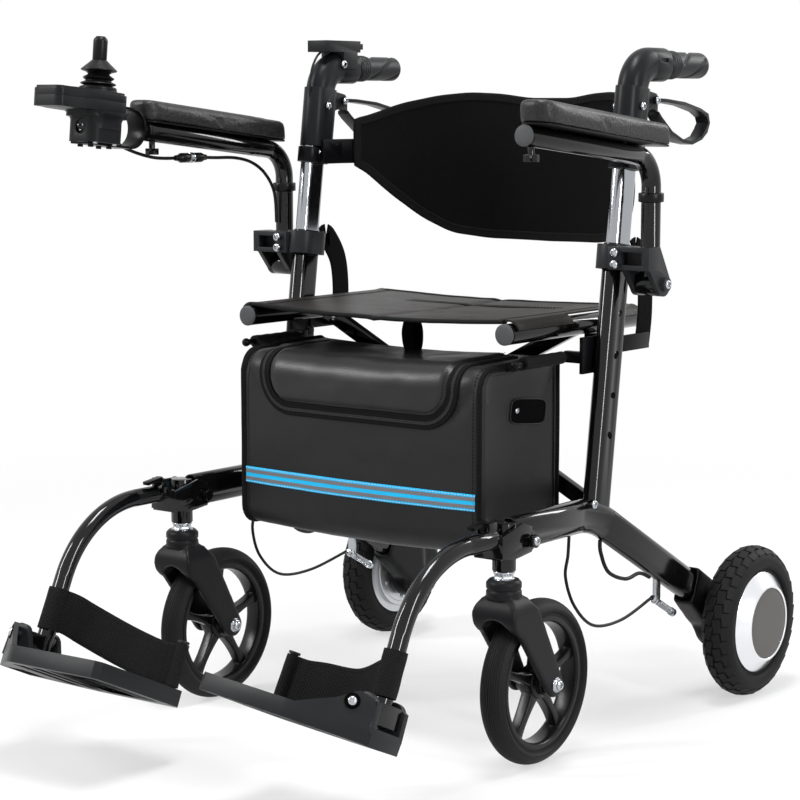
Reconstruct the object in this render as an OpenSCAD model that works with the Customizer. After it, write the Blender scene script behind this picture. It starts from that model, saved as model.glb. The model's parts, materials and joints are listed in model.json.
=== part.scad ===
/* [Frame] */
// Height of the lower side tube
side_tube_h = 42; // [38:1:46]
// Wall of the upright tube
upright_wall = 1.7; // [1.2:0.1:2.4]
// Fold bar height
bar_h = 20; // [14:1:22]

/* [Wheels] */
// Width of the front tyre
front_tyre_w = 35; // [28:1:37]
// Number of spokes in a front wheel
spoke_count = 5; // [3:1:7]
// Width of the rear tyre
rear_tyre_w = 44; // [36:1:46]

/* [Arm rests] */
// Length of the arm pad
pad_len = 272; // [240:2:280]
// Width of the arm pad
pad_w = 48; // [40:1:50]
// Thickness of the arm pad
pad_t = 24; // [18:1:28]

/* [Handles] */
// Length of the hand grip
grip_len = 90; // [80:2:110]
// Diameter of the hand grip
grip_d = 33; // [28:1:36]

/* [Seat and bag] */
// Thickness of the seat sheet
seat_t = 2.5; // [1.5:0.5:4]
// Width of the bag
bag_w = 376; // [340:2:380]
// Depth of the bag
bag_d = 186; // [150:2:188]

/* [Foot rests] */
// Thickness of the foot plate
plate_t = 20; // [14:1:24]
// Height of the heel strap
heel_h = 52; // [36:1:56]

/* [Fits] */
// Running gap of turning fits on the radius
run_gap = 0.05; // [0.02:0.01:0.1]
// Gap round the sliding handle tube
slide_gap = 0.3; // [0.2:0.05:0.4]

/* [Hidden] */
$fn = 48;

fit = 0.05;
wheel_r = 100;
lift_z = 2 * (wheel_r - 100);
axle_z = wheel_r - lift_z;
// lower side tube
lt_x = 251;
lt_z = 285;
lt_w = 25;
lt_wall = 2;
lt_y0 = -100;
lt_slope = 28.8;
lt_r = 140;
lt_corner = 80.5;
lt_y1 = lt_corner - lt_r * tan(lt_slope / 2);
lt_ye = lt_y1 + lt_r * sin(lt_slope);
lt_ze = lt_z - lt_r * (1 - cos(lt_slope));
lt_run = 290;
lt_y2 = lt_ye + lt_run * cos(lt_slope);
lt_z2 = lt_ze - lt_run * sin(lt_slope);
// leaning upright
up_x = 248;
up_y = 96.8;
up_z = 293;
lean = 7.6;
up_l = 42;
up_w = 24;
in_l = up_l - 2 * upright_wall - 2 * slide_gap;
in_w = up_w - 2 * upright_wall - 2 * slide_gap;
up_top = 322;
// caster head
stem_x = 254;
stem_y = -110;
stem_r = 10;
head_r = 14;
head_z0 = 246;
head_z1 = 302;
front_axle_y = -44;
// foot rest hanger
hang_y = -88;
hang_z = 280;
hang_in = 17.5;
hang_pl = 4;
hang_x = 260;
hang_r = 11;
hb_r = 140;
hb_y = -190;
hb_z = 287;
hb_a = 65;
he_y = hb_y - hb_r * sin(hb_a);
he_z = hb_z - hb_r * (1 - cos(hb_a));
plate_tilt = 90 - hb_a;
hinge_x = 266;
hinge_s = 84;
roll_left = 5;
roll_right = 1;
// rear wheel
rear_x = 301;
rear_y = 395;
// fold bars
piv_x = 224;
piv_z = 290;
rail_x = 202;
rail_z = 511;
rail_r = 12.7;
rail_y0 = -36;
rail_y1 = 262;
bar_len = norm([piv_x + rail_x, rail_z - piv_z]);
bar_ang = atan2(rail_z - piv_z, piv_x + rail_x);
cross_z = piv_z + piv_x * tan(bar_ang);
bar_t = 10;
bar_ya = 112;
bar_yb = bar_ya + bar_t + 2;
pin_r = 5;
// arm rests
arm_x = 292;
pad_x = arm_x + 10;
arm_r = 12;
arm_y = 144;
arm_hz = 565;
arm_cz = 718;
arm_rise = 6.2;
arm_br = 40;
arm_front = pad_len;
barrel_w = 26;
// handles
head_x = 248;
grip_z = 831;
grip_y = 241;
lever_y = 206;
lever_z = 787;
lever_w = 13;
// joystick
joy_x = arm_x + 6;
joy_y = arm_y - arm_front * cos(arm_rise) - 79.6;
joy_z = arm_cz + arm_front * sin(arm_rise) + 49.6;
joy_tilt = 6;
joy_piv = -13;
// whole object centred on the origin
y_mid = -19;

module centred() {
  translate([0, y_mid, lift_z]) children();
}

module obround(l, w) {
  square([w, l - w], center = true);
  translate([0, (l - w) / 2]) circle(d = w);
  translate([0, -(l - w) / 2]) circle(d = w);
}

module round_rect(l, w, r) {
  square([w, l - 2 * r], center = true);
  square([w - 2 * r, l], center = true);
  for (a = [-1, 1])
    for (b = [-1, 1])
      translate([a * (w / 2 - r), b * (l / 2 - r)]) circle(r = r);
}

module flip() {
  mirror([1, 0, 0]) children();
}

module yz_run(x, p, q) {
  d = q - p;
  translate([x, p[0], p[1]]) rotate([90, 0, 90]) rotate([0, 0, atan2(d[1], d[0])]) rotate([0, 90, 0])
    linear_extrude(norm(d)) children();
}

module yz_bend(x, c, r, a0, a1) {
  translate([x, c[0], c[1]]) rotate([90, 0, 90]) rotate([0, 0, a0])
    rotate_extrude(angle = a1 - a0) translate([r, 0]) rotate(90) children();
}

module yz_plate(x0, x1) {
  translate([x0, 0, 0]) rotate([90, 0, 90]) linear_extrude(x1 - x0) children();
}

module x_cyl(x0, x1, y, z, r) {
  translate([x0, y, z]) rotate([0, 90, 0]) cylinder(r = r, h = x1 - x0);
}

module y_cyl(y0, y1, x, z, r) {
  translate([x, y0, z]) rotate([-90, 0, 0]) cylinder(r = r, h = y1 - y0);
}

module box(x0, x1, y0, y1, z0, z1) {
  translate([x0, y0, z0]) cube([x1 - x0, y1 - y0, z1 - z0]);
}

module upright() {
  translate([up_x, up_y, up_z]) rotate([-lean, 0, 0]) children();
}

module joy_frame() {
  translate([joy_x, joy_y, joy_z]) rotate([-joy_tilt, 0, 0]) children();
}

module plate_frame() {
  translate([0, he_y, he_z]) rotate([-plate_tilt, 0, 0]) children();
}

function unit(v) = v / norm(v);
function cr1(a, b, c, d, t) = 0.5 * (2 * b + (c - a) * t + (2 * a - 5 * b + 4 * c - d) * t * t
  + (3 * b - a - 3 * c + d) * t * t * t);
function cr_at(p, i, t) = cr1(p[max(i - 1, 0)], p[i], p[min(i + 1, len(p) - 1)], p[min(i + 2, len(p) - 1)], t);
function smooth(p, n) = concat([for (i = [0:len(p) - 2]) for (k = [0:n - 1]) cr_at(p, i, k / n)], [p[len(p) - 1]]);
function tang(p, i) = unit(p[min(i + 1, len(p) - 1)] - p[max(i - 1, 0)]);
function ring_tris(m, n) = [for (i = [0:m - 2]) for (j = [0:n - 1]) for (k = [0, 1])
  k == 0 ? [i * n + j, (i + 1) * n + j, (i + 1) * n + (j + 1) % n]
         : [i * n + j, (i + 1) * n + (j + 1) % n, i * n + (j + 1) % n]];
function cap_a(n) = [for (j = [1:n - 2]) [0, j, j + 1]];
function cap_b(m, n) = [for (j = [1:n - 2]) [(m - 1) * n, (m - 1) * n + j + 1, (m - 1) * n + j]];

module loft(pts, m, n) {
  polyhedron(points = pts, faces = concat(cap_a(n), ring_tris(m, n), cap_b(m, n)), convexity = 6);
}

module cord(path, r, ref, n = 8) {
  m = len(path);
  pts = [for (i = [0:m - 1]) let (t = tang(path, i), u = unit(cross(t, ref)), v = cross(t, u))
    for (j = [0:n - 1]) path[i] + r * (cos(360 * j / n) * u + sin(360 * j / n) * v)];
  loft(pts, m, n);
}

module strip(path, wdir, w, t) {
  m = len(path);
  pts = [for (i = [0:m - 1]) let (g = tang(path, i), d = unit(wdir - g * (g * wdir)), h = cross(g, d))
    for (c = [[-1, -1], [1, -1], [1, 1], [-1, 1]]) path[i] + d * (c[0] * w / 2) + h * (c[1] * t / 2)];
  loft(pts, m, 4);
}

module tube_profile(g = 0) {
  difference() {
    obround(side_tube_h - 2 * g, lt_w - 2 * g);
    obround(side_tube_h - 2 * lt_wall + 2 * g, lt_w - 2 * lt_wall + 2 * g);
  }
}

module side_frame() {
  difference() {
    union() {
      yz_run(lt_x, [lt_y0 + 4, lt_z], [lt_y1, lt_z]) tube_profile();
      yz_bend(lt_x, [lt_y1, lt_z - lt_r], lt_r, 90 - lt_slope - 1.2, 91.2) tube_profile(0.05);
      yz_run(lt_x, [lt_ye, lt_ze], [lt_y2, lt_z2]) tube_profile();
      upright() translate([0, 0, -8]) linear_extrude(up_top + 8) obround(up_l, up_w);
      translate([stem_x, stem_y, head_z0]) cylinder(r = head_r, h = head_z1 - head_z0);
      box(lt_x - 10, lt_x + 10, stem_y + 2, stem_y + 30, 272, 298);
      x_cyl(stem_x - hang_in - hang_pl - 3, stem_x + hang_in + hang_pl + 9, hang_y, hang_z, 4);
      x_cyl(stem_x + hang_in + hang_pl + 3, stem_x + hang_in + hang_pl + 9, hang_y, hang_z, 8);
      x_cyl(stem_x - hang_in - hang_pl - 7, stem_x - hang_in - hang_pl - 1, hang_y, hang_z, 7);
      x_cyl(lt_x + lt_w / 2 - 3, lt_x + lt_w / 2 + 4, 62, 300, 5);
    }
    upright() translate([0, 0, 30]) linear_extrude(up_top) obround(up_l - 2 * upright_wall, up_w - 2 * upright_wall);
    translate([stem_x, stem_y, head_z0 - 1]) cylinder(r = stem_r + run_gap, h = 50);
    for (z = [86, 136, 187, 237])
      upright() translate([0, 0, z]) rotate([0, 90, 0]) cylinder(r = 4, h = 40);
  }
}

module brace_lug(y0) {
  box(piv_x - 12, lt_x - lt_w / 2 + 1, y0 - 7, y0 - 1.5, piv_z - 14, piv_z + 12);
  y_cyl(y0 - 7, y0 + bar_t + 1.5, piv_x, piv_z, pin_r);
  y_cyl(y0 + bar_t + 1.5, y0 + bar_t + 5, piv_x, piv_z, 9);
}

module seat_rest(y0) {
  box(rail_x - 4, up_x - up_w / 2 + 2, y0, y0 + 16, rail_z - rail_r - 14, rail_z - rail_r - 6);
  box(rail_x - 8, rail_x + 8, y0, y0 + 16, rail_z - rail_r - 6.5, rail_z - rail_r - 0.6);
}

module left_side_frame() color("#17171a") centred() {
  side_frame();
  brace_lug(bar_ya);
}

module right_side_frame() color("#17171a") centred() flip() {
  side_frame();
  brace_lug(bar_yb);
}

module rear_bracket() {
  difference() {
    union() {
      x_cyl(lt_x - lt_w / 2, 276, rear_y, axle_z, 42);
      yz_plate(lt_x - lt_w / 2 - 3, lt_x + lt_w / 2 + 3)
        polygon([[lt_y2 - 44, lt_z2 + 52], [lt_y2 + 24, lt_z2 + 12], [rear_y, axle_z - 38],
          [lt_y2 - 24, lt_z2 - 28], [lt_y2 - 62, lt_z2 + 6]]);
    }
    yz_run(lt_x, [lt_ye, lt_ze], [lt_y2 + fit, lt_z2]) obround(side_tube_h + 2 * fit, lt_w + 2 * fit);
    x_cyl(264, 280, rear_y, axle_z, 30);
    x_cyl(260, 280, rear_y - 20, axle_z + 30, 5);
  }
  x_cyl(255, 322, rear_y, axle_z, 6);
  x_cyl(lt_x + lt_w / 2 + 2, lt_x + lt_w / 2 + 7, lt_y2 - 18, lt_z2 + 12, 6);
}

module left_rear_bracket() color("#1b1b1d") centred() rear_bracket();
module right_rear_bracket() color("#1b1b1d") centred() flip() rear_bracket();

module arm_clamp() {
  difference() {
    union() {
      upright() translate([0, 0, up_top - 32]) linear_extrude(30) obround(up_l + 16, up_w + 16);
      box(up_x + 8, arm_x + 22, 104, 130.5, 583, 611);
      box(up_x - 2, up_x + 2, 150, 174.2, 588, 609);
      for (x = [arm_x - barrel_w / 2 - 7, arm_x + barrel_w / 2 + 0.5])
        yz_plate(x, x + 6.5) {
          polygon([[110, 611], [134, 611], [arm_y + 14, arm_hz + 6], [arm_y, arm_hz - 15],
            [arm_y - 14, arm_hz - 6], [110, 583]]);
          translate([arm_y, arm_hz]) circle(r = 15);
        }
    }
    upright() translate([0, 0, up_top - 60]) linear_extrude(80) obround(up_l + 2 * fit, up_w + 2 * fit);
    box(up_x + 26, arm_x + 12, 96, 120, 589, 605);
  }
  x_cyl(arm_x - barrel_w / 2 - 8, arm_x + barrel_w / 2 + 8, arm_y, arm_hz, 5);
  x_cyl(arm_x + barrel_w / 2 + 7, arm_x + barrel_w / 2 + 12, arm_y, arm_hz, 9);
  for (z = [590, 604]) y_cyl(99, 106, up_x + 20, z, 4.5);
}

module left_arm_clamp() color("#2a2b2d") centred() arm_clamp();
module right_arm_clamp() color("#2a2b2d") centred() flip() arm_clamp();

rod_x = 212;
rod_z = 475;

module bag_rod() {
  translate([rod_x, -29, rod_z]) sphere(r = 5.5);
  y_cyl(-29, 92, rod_x, rod_z, 4);
  box(rod_x - 4, 234, 82, 92, rod_z - 7, rod_z + 7);
  box(231, up_x - up_w / 2 - fit, 82, 132, 455, 500);
  x_cyl(227, 233, 122, 478, 6);
  difference() {
    box(247.3, 251, 130, 212, 478, 498);
    upright() linear_extrude(up_top) obround(up_l + 2 * fit, up_w + 2 * fit);
  }
}

module left_bag_rod() color("#1b1b1d") centred() {
  bag_rod();
  seat_rest(bar_yb + 26);
  box(rail_x + 26, up_x - up_w / 2 - fit, 122, bar_yb + 42, 484, 498);
}

module right_bag_rod() color("#1b1b1d") centred() flip() {
  bag_rod();
  seat_rest(bar_yb + 26);
  box(rail_x + 26, up_x - up_w / 2 - fit, 122, bar_yb + 42, 484, 498);
}

module side_strap() {
  strip(smooth([[up_x, 175.2, 600], [up_x, 184, 600], [up_x - 1, 204, 570], [up_x - 2, 209, 526], [up_x - 2, 203, 486]], 3),
    [0, 1, 0.35], 34, 2);
}

module left_side_strap() color("#111113") centred() side_strap();
module right_side_strap() color("#111113") centred() flip() side_strap();

module cables() {
  cord(smooth([[lt_x, 32, lt_z - side_tube_h / 2 - 0.4], [lt_x, 30, 240], [lt_x, 25, 214], [lt_x + 2, 42, 176],
    [lt_x + 3, 84, 144], [lt_x + 3, 150, 139], [lt_x, 226, 153]], 3), 2, [1, 0, 0]);
  cord(smooth([[lt_x, 102, 248], [lt_x, 104, 232], [lt_x + 4, 116, 206], [lt_x + 8, 150, 192], [lt_x + 6, 186, 193],
    [lt_x + 4, 214, 183]], 3), 2.5, [1, 0, 0]);
}

module left_cables() color("#151517") centred() cables();
module right_cables() color("#151517") centred() flip() cables();

function helix(r, pitch, curls) = [for (i = [0:curls * 8]) [r * cos(i * 45), r * sin(i * 45), pitch * i / 8]];
spring_r = 4;
spring_wire = 0.8;
spring_pitch = 3.6;
spring_curls = 10;
echo(spring_least_gap = spring_pitch - 2 * spring_wire);

module brake_gear() {
  translate([lt_x, 232, 151]) rotate([-90 - lt_slope, 0, 0]) {
    translate([0, 0, -4]) cylinder(r = 3.6, h = 18);
    translate([0, 0, 2]) cylinder(r = 5.6, h = 6, $fn = 6);
    translate([0, 0, 10]) cylinder(r = 1.2, h = 46);
    translate([0, 0, 13]) cord(helix(spring_r, spring_pitch, spring_curls), spring_wire, [0, 0, 1], 6);
    translate([0, 0, 50.5]) cylinder(r = 5.5, h = 6);
  }
  yz_plate(lt_x - 2, lt_x + 2)
    polygon([[233, 150], [243, 144], [246, 150],
      [246, lt_ze - (246 - lt_ye) * tan(lt_slope) - side_tube_h / 2 / cos(lt_slope) - 0.3],
      [233, lt_ze - (233 - lt_ye) * tan(lt_slope) - side_tube_h / 2 / cos(lt_slope) - 0.3]]);
}

module left_brake_gear() color("#b9bcc0") centred() brake_gear();
module right_brake_gear() color("#b9bcc0") centred() flip() brake_gear();

module fold_bar(y0) {
  translate([piv_x, y0 + bar_t, piv_z]) rotate([90, 0, 0]) rotate([0, 0, 180 - bar_ang]) linear_extrude(bar_t) difference() {
    translate([bar_len / 2, 0]) rotate(90) obround(bar_len + bar_h, bar_h);
    circle(r = pin_r + run_gap);
  }
}

module seat_rail() {
  y_cyl(rail_y0 + 3, rail_y1 - 3, rail_x, rail_z, rail_r);
  y_cyl(rail_y0, rail_y0 + 3, rail_x, rail_z, rail_r - 1);
  y_cyl(rail_y1 - 3, rail_y1, rail_x, rail_z, rail_r - 1);
}

module brace_a() color("#17171a") centred() {
  difference() {
    union() {
      fold_bar(bar_ya);
      flip() seat_rail();
    }
  }
  y_cyl(bar_ya - 6, bar_yb + bar_t + 6, 0, cross_z, pin_r);
  y_cyl(bar_ya - 6, bar_ya + 1, 0, cross_z, 9);
  y_cyl(bar_yb + bar_t + 1, bar_yb + bar_t + 6, 0, cross_z, 9);
}

module brace_b() color("#17171a") centred() {
  difference() {
    union() {
      flip() fold_bar(bar_yb);
      seat_rail();
    }
    y_cyl(bar_yb - 5, bar_yb + bar_t + 5, 0, cross_z, pin_r + run_gap);
  }
}

module seat_sling() color("#3a3634") centred() {
  y0 = rail_y0 + 6;
  y1 = rail_y1 - 14;
  difference() {
    union() {
      for (s = [-1, 1])
        y_cyl(y0, y1, s * rail_x, rail_z, rail_r + 0.3 + seat_t);
      box(-rail_x, rail_x, y0, y1, rail_z + rail_r + 0.3, rail_z + rail_r + 0.3 + seat_t);
    }
    for (s = [-1, 1])
      y_cyl(y0 - 1, y1 + 1, s * rail_x, rail_z, rail_r + 0.3);
    box(-rail_x - 30, rail_x + 30, 90, 172, rail_z - 40, rail_z + rail_r);
  }
}

bag_y0 = -84;
bag_z0 = 246;
bag_z1 = 474;

module bag() color("#29292b") centred() {
  y1 = bag_y0 + bag_d;
  yz_plate(-bag_w / 2, bag_w / 2) {
    translate([bag_y0 + bag_d / 2, (bag_z0 + bag_z1) / 2]) round_rect(bag_z1 - bag_z0, bag_d, 26);
  }
  for (s = [-1, 1])
    difference() {
      union() {
        y_cyl(-12, 70, s * rod_x, rod_z, 7);
        box(min(s * (bag_w / 2 - 8), s * rod_x), max(s * (bag_w / 2 - 8), s * rod_x), -12, 70, rod_z - 12, rod_z - 5);
      }
      y_cyl(-20, 80, s * rod_x, rod_z, 4.6);
    }
}

module handle_tube() {
  upright() translate([0, 0, 180]) linear_extrude(292) obround(in_l, in_w);
}

module left_handle_tube() color("#c9ccd0") centred() handle_tube();
module right_handle_tube() color("#c9ccd0") centred() flip() handle_tube();

hd_off = 5;
hd_bend = 34;
hd_l = 50;
hd_w = 34;

module head_cover() {
  by = up_y + hd_off + (grip_z - up_z) * tan(lean);
  bt = hd_bend * tan((90 - lean) / 2);
  difference() {
    union() {
      upright() translate([0, hd_off, 436]) linear_extrude(79) obround(hd_l, hd_w);
      yz_bend(head_x, [by + bt, grip_z - hd_bend], hd_bend, 87, 183 - lean) obround(41.9, hd_w - 0.1);
      yz_run(head_x, [by + bt, grip_z], [grip_y - 4, grip_z]) obround(42, hd_w);
      y_cyl(grip_y - 9, grip_y - fit, head_x, grip_z, 14);
      for (s = [-1, 1])
        yz_plate(head_x + s * (lever_w / 2 + 2) - 1.5, head_x + s * (lever_w / 2 + 2) + 1.5) {
          translate([lever_y, lever_z]) circle(r = 9);
          polygon([[lever_y - 26, lever_z - 16], [lever_y, lever_z - 9], [lever_y, lever_z + 9],
            [lever_y - 26, lever_z + 14]]);
        }
      x_cyl(head_x - 13, head_x + 13, lever_y, lever_z, 3);
      x_cyl(head_x + 9, head_x + 14, lever_y, lever_z, 5);
      x_cyl(head_x - 14, head_x - 9, lever_y, lever_z, 5);
      x_cyl(head_x - 19.5, head_x + 19.5, 163, 780, 5);
    }
    upright() translate([0, 0, 400]) linear_extrude(72 + fit) obround(in_l + 2 * fit, in_w + 2 * fit);
    box(head_x + hd_w / 2 - 2, head_x + hd_w, 208, 226, 834, 839);
  }
}

module left_head_cover() color("#3b3c3f") centred() head_cover();
module right_head_cover() color("#3b3c3f") centred() flip() head_cover();

module grip() {
  r = grip_d / 2;
  difference() {
    union() {
      y_cyl(grip_y + 2, grip_y + 20, head_x, grip_z, r + 1.5);
      y_cyl(grip_y, grip_y + grip_len - 4, head_x, grip_z, r);
      translate([head_x, grip_y + grip_len - 4, grip_z]) rotate([-90, 0, 0]) cylinder(r1 = r, r2 = r - 4, h = 4);
    }
    for (k = [0:3])
      translate([head_x, grip_y + 32 + k * 14, grip_z]) rotate([90, 0, 0])
        rotate_extrude() translate([r + 0.4, 0]) circle(r = 1.4);
  }
}

module left_grip() color("#55565a") centred() grip();
module right_grip() color("#55565a") centred() flip() grip();

module back_bracket() {
  difference() {
    union() {
      upright() translate([0, 0, 414]) linear_extrude(20) obround(in_l + 10, in_w + 10);
      box(226.5, 240, 150, 176, 702, 712);
      translate([0, 0, 702]) linear_extrude(33)
        polygon([[230.5, 150], [230.5, 206], [228, 216], [222.4, 216], [222.4, 202], [226.5, 190], [226.5, 150]]);
    }
    upright() translate([0, 0, 400]) linear_extrude(60) obround(in_l + 2 * fit, in_w + 2 * fit);
  }
  x_cyl(223.5, 227, 180, 724, 5);
}

module left_back_bracket() color("#1b1b1d") centred() back_bracket();
module right_back_bracket() color("#1b1b1d") centred() flip() back_bracket();

back_end = 222;
back_end_y = 212.8;
back_depth = 152.2;
back_r = (back_end * back_end + back_depth * back_depth) / (2 * back_depth);
back_y = back_end_y + back_depth;
back_t = 3;

module backrest() color("#121214") centred() {
  intersection() {
    translate([0, back_y - back_r, 560]) difference() {
      cylinder(r = back_r, h = 300, $fn = 96);
      translate([0, 0, -1]) cylinder(r = back_r - back_t, h = 302, $fn = 96);
    }
    translate([0, 400, 0]) rotate([90, 0, 0]) linear_extrude(215)
      polygon([[-222, 754], [-130, 794], [-100, 799], [-60, 797], [0, 794], [60, 797], [100, 799], [130, 794],
        [222, 754], [222, 702], [206, 682], [150, 628], [112, 603], [90, 598],
        [-90, 598], [-112, 603], [-150, 628], [-206, 682], [-222, 702]]);
  }
}

module lever_outline(g) {
  polygon([[206, 790 - g], [238, 789 - g], [282, 785 - g], [322, 777 - g], [342 - g, 770 - g], [346 - g, 758],
    [340 - g, 746 + g], [326, 737 + g], [302, 731 + g], [278, 734 + g], [252, 744 + g], [226, 762 + g], [206, 779 + g]]);
}

module brake_lever() {
  difference() {
    union() {
      yz_plate(head_x - 9, head_x + 9) difference() {
        lever_outline(0);
        lever_outline(4.5);
        translate([150, 700]) square([lever_y + 12 - 150, 200]);
      }
      yz_plate(head_x - lever_w / 2 + 0.4, head_x + lever_w / 2 - 0.4) {
        translate([lever_y, lever_z]) circle(r = 7);
        polygon([[lever_y, lever_z + 6.5], [lever_y + 14, 789.5], [lever_y + 14, 772], [lever_y, lever_z - 7]]);
      }
    }
    x_cyl(head_x - 20, head_x + 20, lever_y, lever_z, 3 + run_gap);
  }
}

module left_brake_lever() color("#48494c") centred() brake_lever();
module right_brake_lever() color("#48494c") centred() flip() brake_lever();

arm_bt = arm_br * tan((90 - arm_rise) / 2);
arm_dir = [-cos(arm_rise), sin(arm_rise)];
arm_p = [arm_y, arm_cz];
arm_q = arm_p + arm_bt * arm_dir;
arm_e = arm_p + arm_front * arm_dir;

module arm_tube() {
  difference() {
    union() {
      x_cyl(arm_x - barrel_w / 2, arm_x + barrel_w / 2, arm_y, arm_hz, 15);
      yz_run(arm_x, [arm_y, arm_hz], [arm_y, arm_cz - arm_bt]) circle(r = arm_r);
      yz_bend(arm_x, [arm_y - arm_br, arm_cz - arm_bt], arm_br, -2, 92 - arm_rise) circle(r = arm_r - 0.05);
      yz_run(arm_x, arm_q, arm_e) circle(r = arm_r);
      yz_run(arm_x, arm_e - 3 * arm_dir, arm_e + 4 * arm_dir) circle(r = arm_r - 0.6);
    }
    x_cyl(arm_x - 40, arm_x + 40, arm_y, arm_hz, 5 + run_gap);
  }
  for (t = [70, pad_len - 52])
    let (c = arm_p + t * arm_dir)
      translate([arm_x, c[0], c[1]]) rotate([-arm_rise, 0, 0]) cylinder(r = 5, h = arm_r + 2);
}

module left_arm_tube() color("#17171a") centred() {
  arm_tube();
  let (c = arm_p + (arm_front - 10) * arm_dir)
    translate([arm_x, c[0], c[1] - arm_r - 16]) {
      cylinder(r = 4, h = 18);
      for (a = [0, 90]) rotate([0, 0, a]) translate([-9, -3, 0]) cube([18, 6, 8]);
    }
}

module right_arm_tube() color("#17171a") centred() flip() {
  arm_tube();
  let (c = arm_p + (arm_front - 10) * arm_dir)
    translate([arm_x, c[0], c[1] - arm_r - 16]) {
      cylinder(r = 4, h = 18);
      for (a = [0, 90]) rotate([0, 0, a]) translate([-9, -3, 0]) cube([18, 6, 8]);
    }
}

pad_ends = [[0, 0.62], [1.5, 0.78], [5, 0.9], [12, 0.97], [24, 1]];
function sgn(v) = v < 0 ? -1 : 1;
function pad_pt(a, p, w, h) =
  let (c = cos(a), s = sin(a), x = w * sgn(c) * pow(abs(c), 2 / p), z = h * sgn(s) * pow(abs(s), 2 / p))
  [x, z + (z > 0 ? 2.4 * (1 - (x / w) * (x / w)) - 2.4 : 0)];

module arm_pad() {
  st = concat([for (e = pad_ends) e], [[pad_len * 0.35, 1], [pad_len * 0.65, 1]],
    [for (k = [len(pad_ends) - 1:-1:0]) [pad_len - pad_ends[k][0], pad_ends[k][1]]]);
  n = 32;
  pts = [for (e = st) for (j = [0:n - 1])
    let (q = pad_pt(-360 * j / n, 3.4, pad_w / 2 * (1 - (1 - e[1]) * 0.5), pad_t / 2 * e[1])) [q[0], -e[0], q[1]]];
  c = arm_p + 5 * arm_dir;
  translate([pad_x, c[0], c[1]]) rotate([-arm_rise, 0, 0]) translate([0, 0, arm_r + 2.5 + pad_t / 2])
    loft(pts, len(st), n);
}

module left_arm_pad() color("#2b2b2d") centred() arm_pad();
module right_arm_pad() color("#2b2b2d") centred() flip() arm_pad();

fork_in = 21.5;
fork_out = 31;

fork_top = 219;
hood_r = 25;
leg_r = 15.5;

module fork_outline() {
  d = unit([front_axle_y - stem_y - 8, axle_z - 190]);
  q = [-d[1], d[0]];
  translate([stem_y + 2, fork_top - hood_r]) circle(r = hood_r);
  polygon([[stem_y + 8, 190] - 24 * q, [front_axle_y, axle_z] - leg_r * q, [front_axle_y, axle_z] + leg_r * q,
    [stem_y + 8, 190] + 24 * q]);
  translate([front_axle_y, axle_z]) circle(r = leg_r);
}

module fork() {
  difference() {
    intersection() {
      yz_plate(stem_x - fork_out, stem_x + fork_out) fork_outline();
      translate([stem_x, 200, fork_top - 100]) rotate([90, 0, 0]) linear_extrude(500) round_rect(200, 2 * fork_out, 26);
    }
    x_cyl(stem_x - fork_in, stem_x + fork_in, front_axle_y, axle_z, wheel_r + 4);
    box(stem_x - fork_in, stem_x + fork_in, stem_y - 60, front_axle_y + 60, axle_z - 60, 168);
    y_cyl(stem_y - 60, front_axle_y, stem_x, 168, fork_in);
  }
  translate([stem_x, stem_y, fork_top - 6]) cylinder(r = 21, h = 9);
  translate([stem_x, stem_y, fork_top + 2]) cylinder(r = 19, h = 5);
  translate([stem_x, stem_y, fork_top + 6]) cylinder(r = 21, h = 7);
  translate([stem_x, stem_y, fork_top + 13]) cylinder(r1 = 21, r2 = 17, h = 4);
  translate([stem_x, stem_y, fork_top + 16]) cylinder(r = 12.5, h = 8, $fn = 6);
  translate([stem_x, stem_y, fork_top + 20]) cylinder(r = stem_r, h = 52);
  translate([stem_x, stem_y, fork_top + 24]) cylinder(r = 13, h = 2);
  x_cyl(stem_x - fork_out - 4, stem_x + fork_out + 4, front_axle_y, axle_z, 4);
  x_cyl(stem_x - fork_out - 4, stem_x - fork_out + 1, front_axle_y, axle_z, 8);
  x_cyl(stem_x + fork_out - 1, stem_x + fork_out + 4, front_axle_y, axle_z, 8);
}

module left_fork() color("#242527") centred() fork();
module right_fork() color("#242527") centred() flip() fork();

rim_r = wheel_r - 20;

module front_rim() {
  difference() {
    union() {
      x_cyl(stem_x - 19, stem_x + 19, front_axle_y, axle_z, 15);
      x_cyl(stem_x - 10, stem_x + 10, front_axle_y, axle_z, 21);
      difference() {
        x_cyl(stem_x - 13, stem_x + 13, front_axle_y, axle_z, rim_r);
        x_cyl(stem_x - 20, stem_x + 20, front_axle_y, axle_z, rim_r - 8);
      }
      translate([stem_x - 8, front_axle_y, axle_z]) rotate([90, 0, 90]) linear_extrude(16)
        for (k = [0:spoke_count - 1]) rotate(18 + k * 360 / spoke_count)
          polygon([[12, -9], [46, -7], [rim_r - 6, -10], [rim_r - 6, 10], [46, 7], [12, 9]]);
    }
    x_cyl(stem_x - 40, stem_x + 40, front_axle_y, axle_z, 4 + run_gap);
  }
}

module left_front_rim() color("#1e1f21") centred() front_rim();
module right_front_rim() color("#1e1f21") centred() flip() front_rim();

module front_tyre() {
  translate([stem_x, front_axle_y, axle_z]) rotate([0, 90, 0]) rotate_extrude($fn = 96) difference() {
    union() {
      translate([rim_r + fit, -12.5]) square([10, 25]);
      translate([wheel_r - 12, 0]) scale_oval(12, front_tyre_w / 2);
      translate([rim_r + 4, -front_tyre_w / 2 + 2.5]) square([8, front_tyre_w - 5]);
    }
    translate([0, -50]) square([rim_r + fit, 100]);
    for (k = [-2:2]) translate([wheel_r + 0.2 - k * k * 0.35, k * 4.6]) circle(r = 0.9, $fn = 16);
  }
}

module scale_oval(a, b) {
  intersection() {
    translate([-(b * b - a * a) / (2 * a), 0]) circle(r = a + (b * b - a * a) / (2 * a));
    translate([0, -b]) square([a, 2 * b]);
  }
}

module left_front_tyre() color("#1a1a1b") centred() front_tyre();
module right_front_tyre() color("#1a1a1b") centred() flip() front_tyre();

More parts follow.
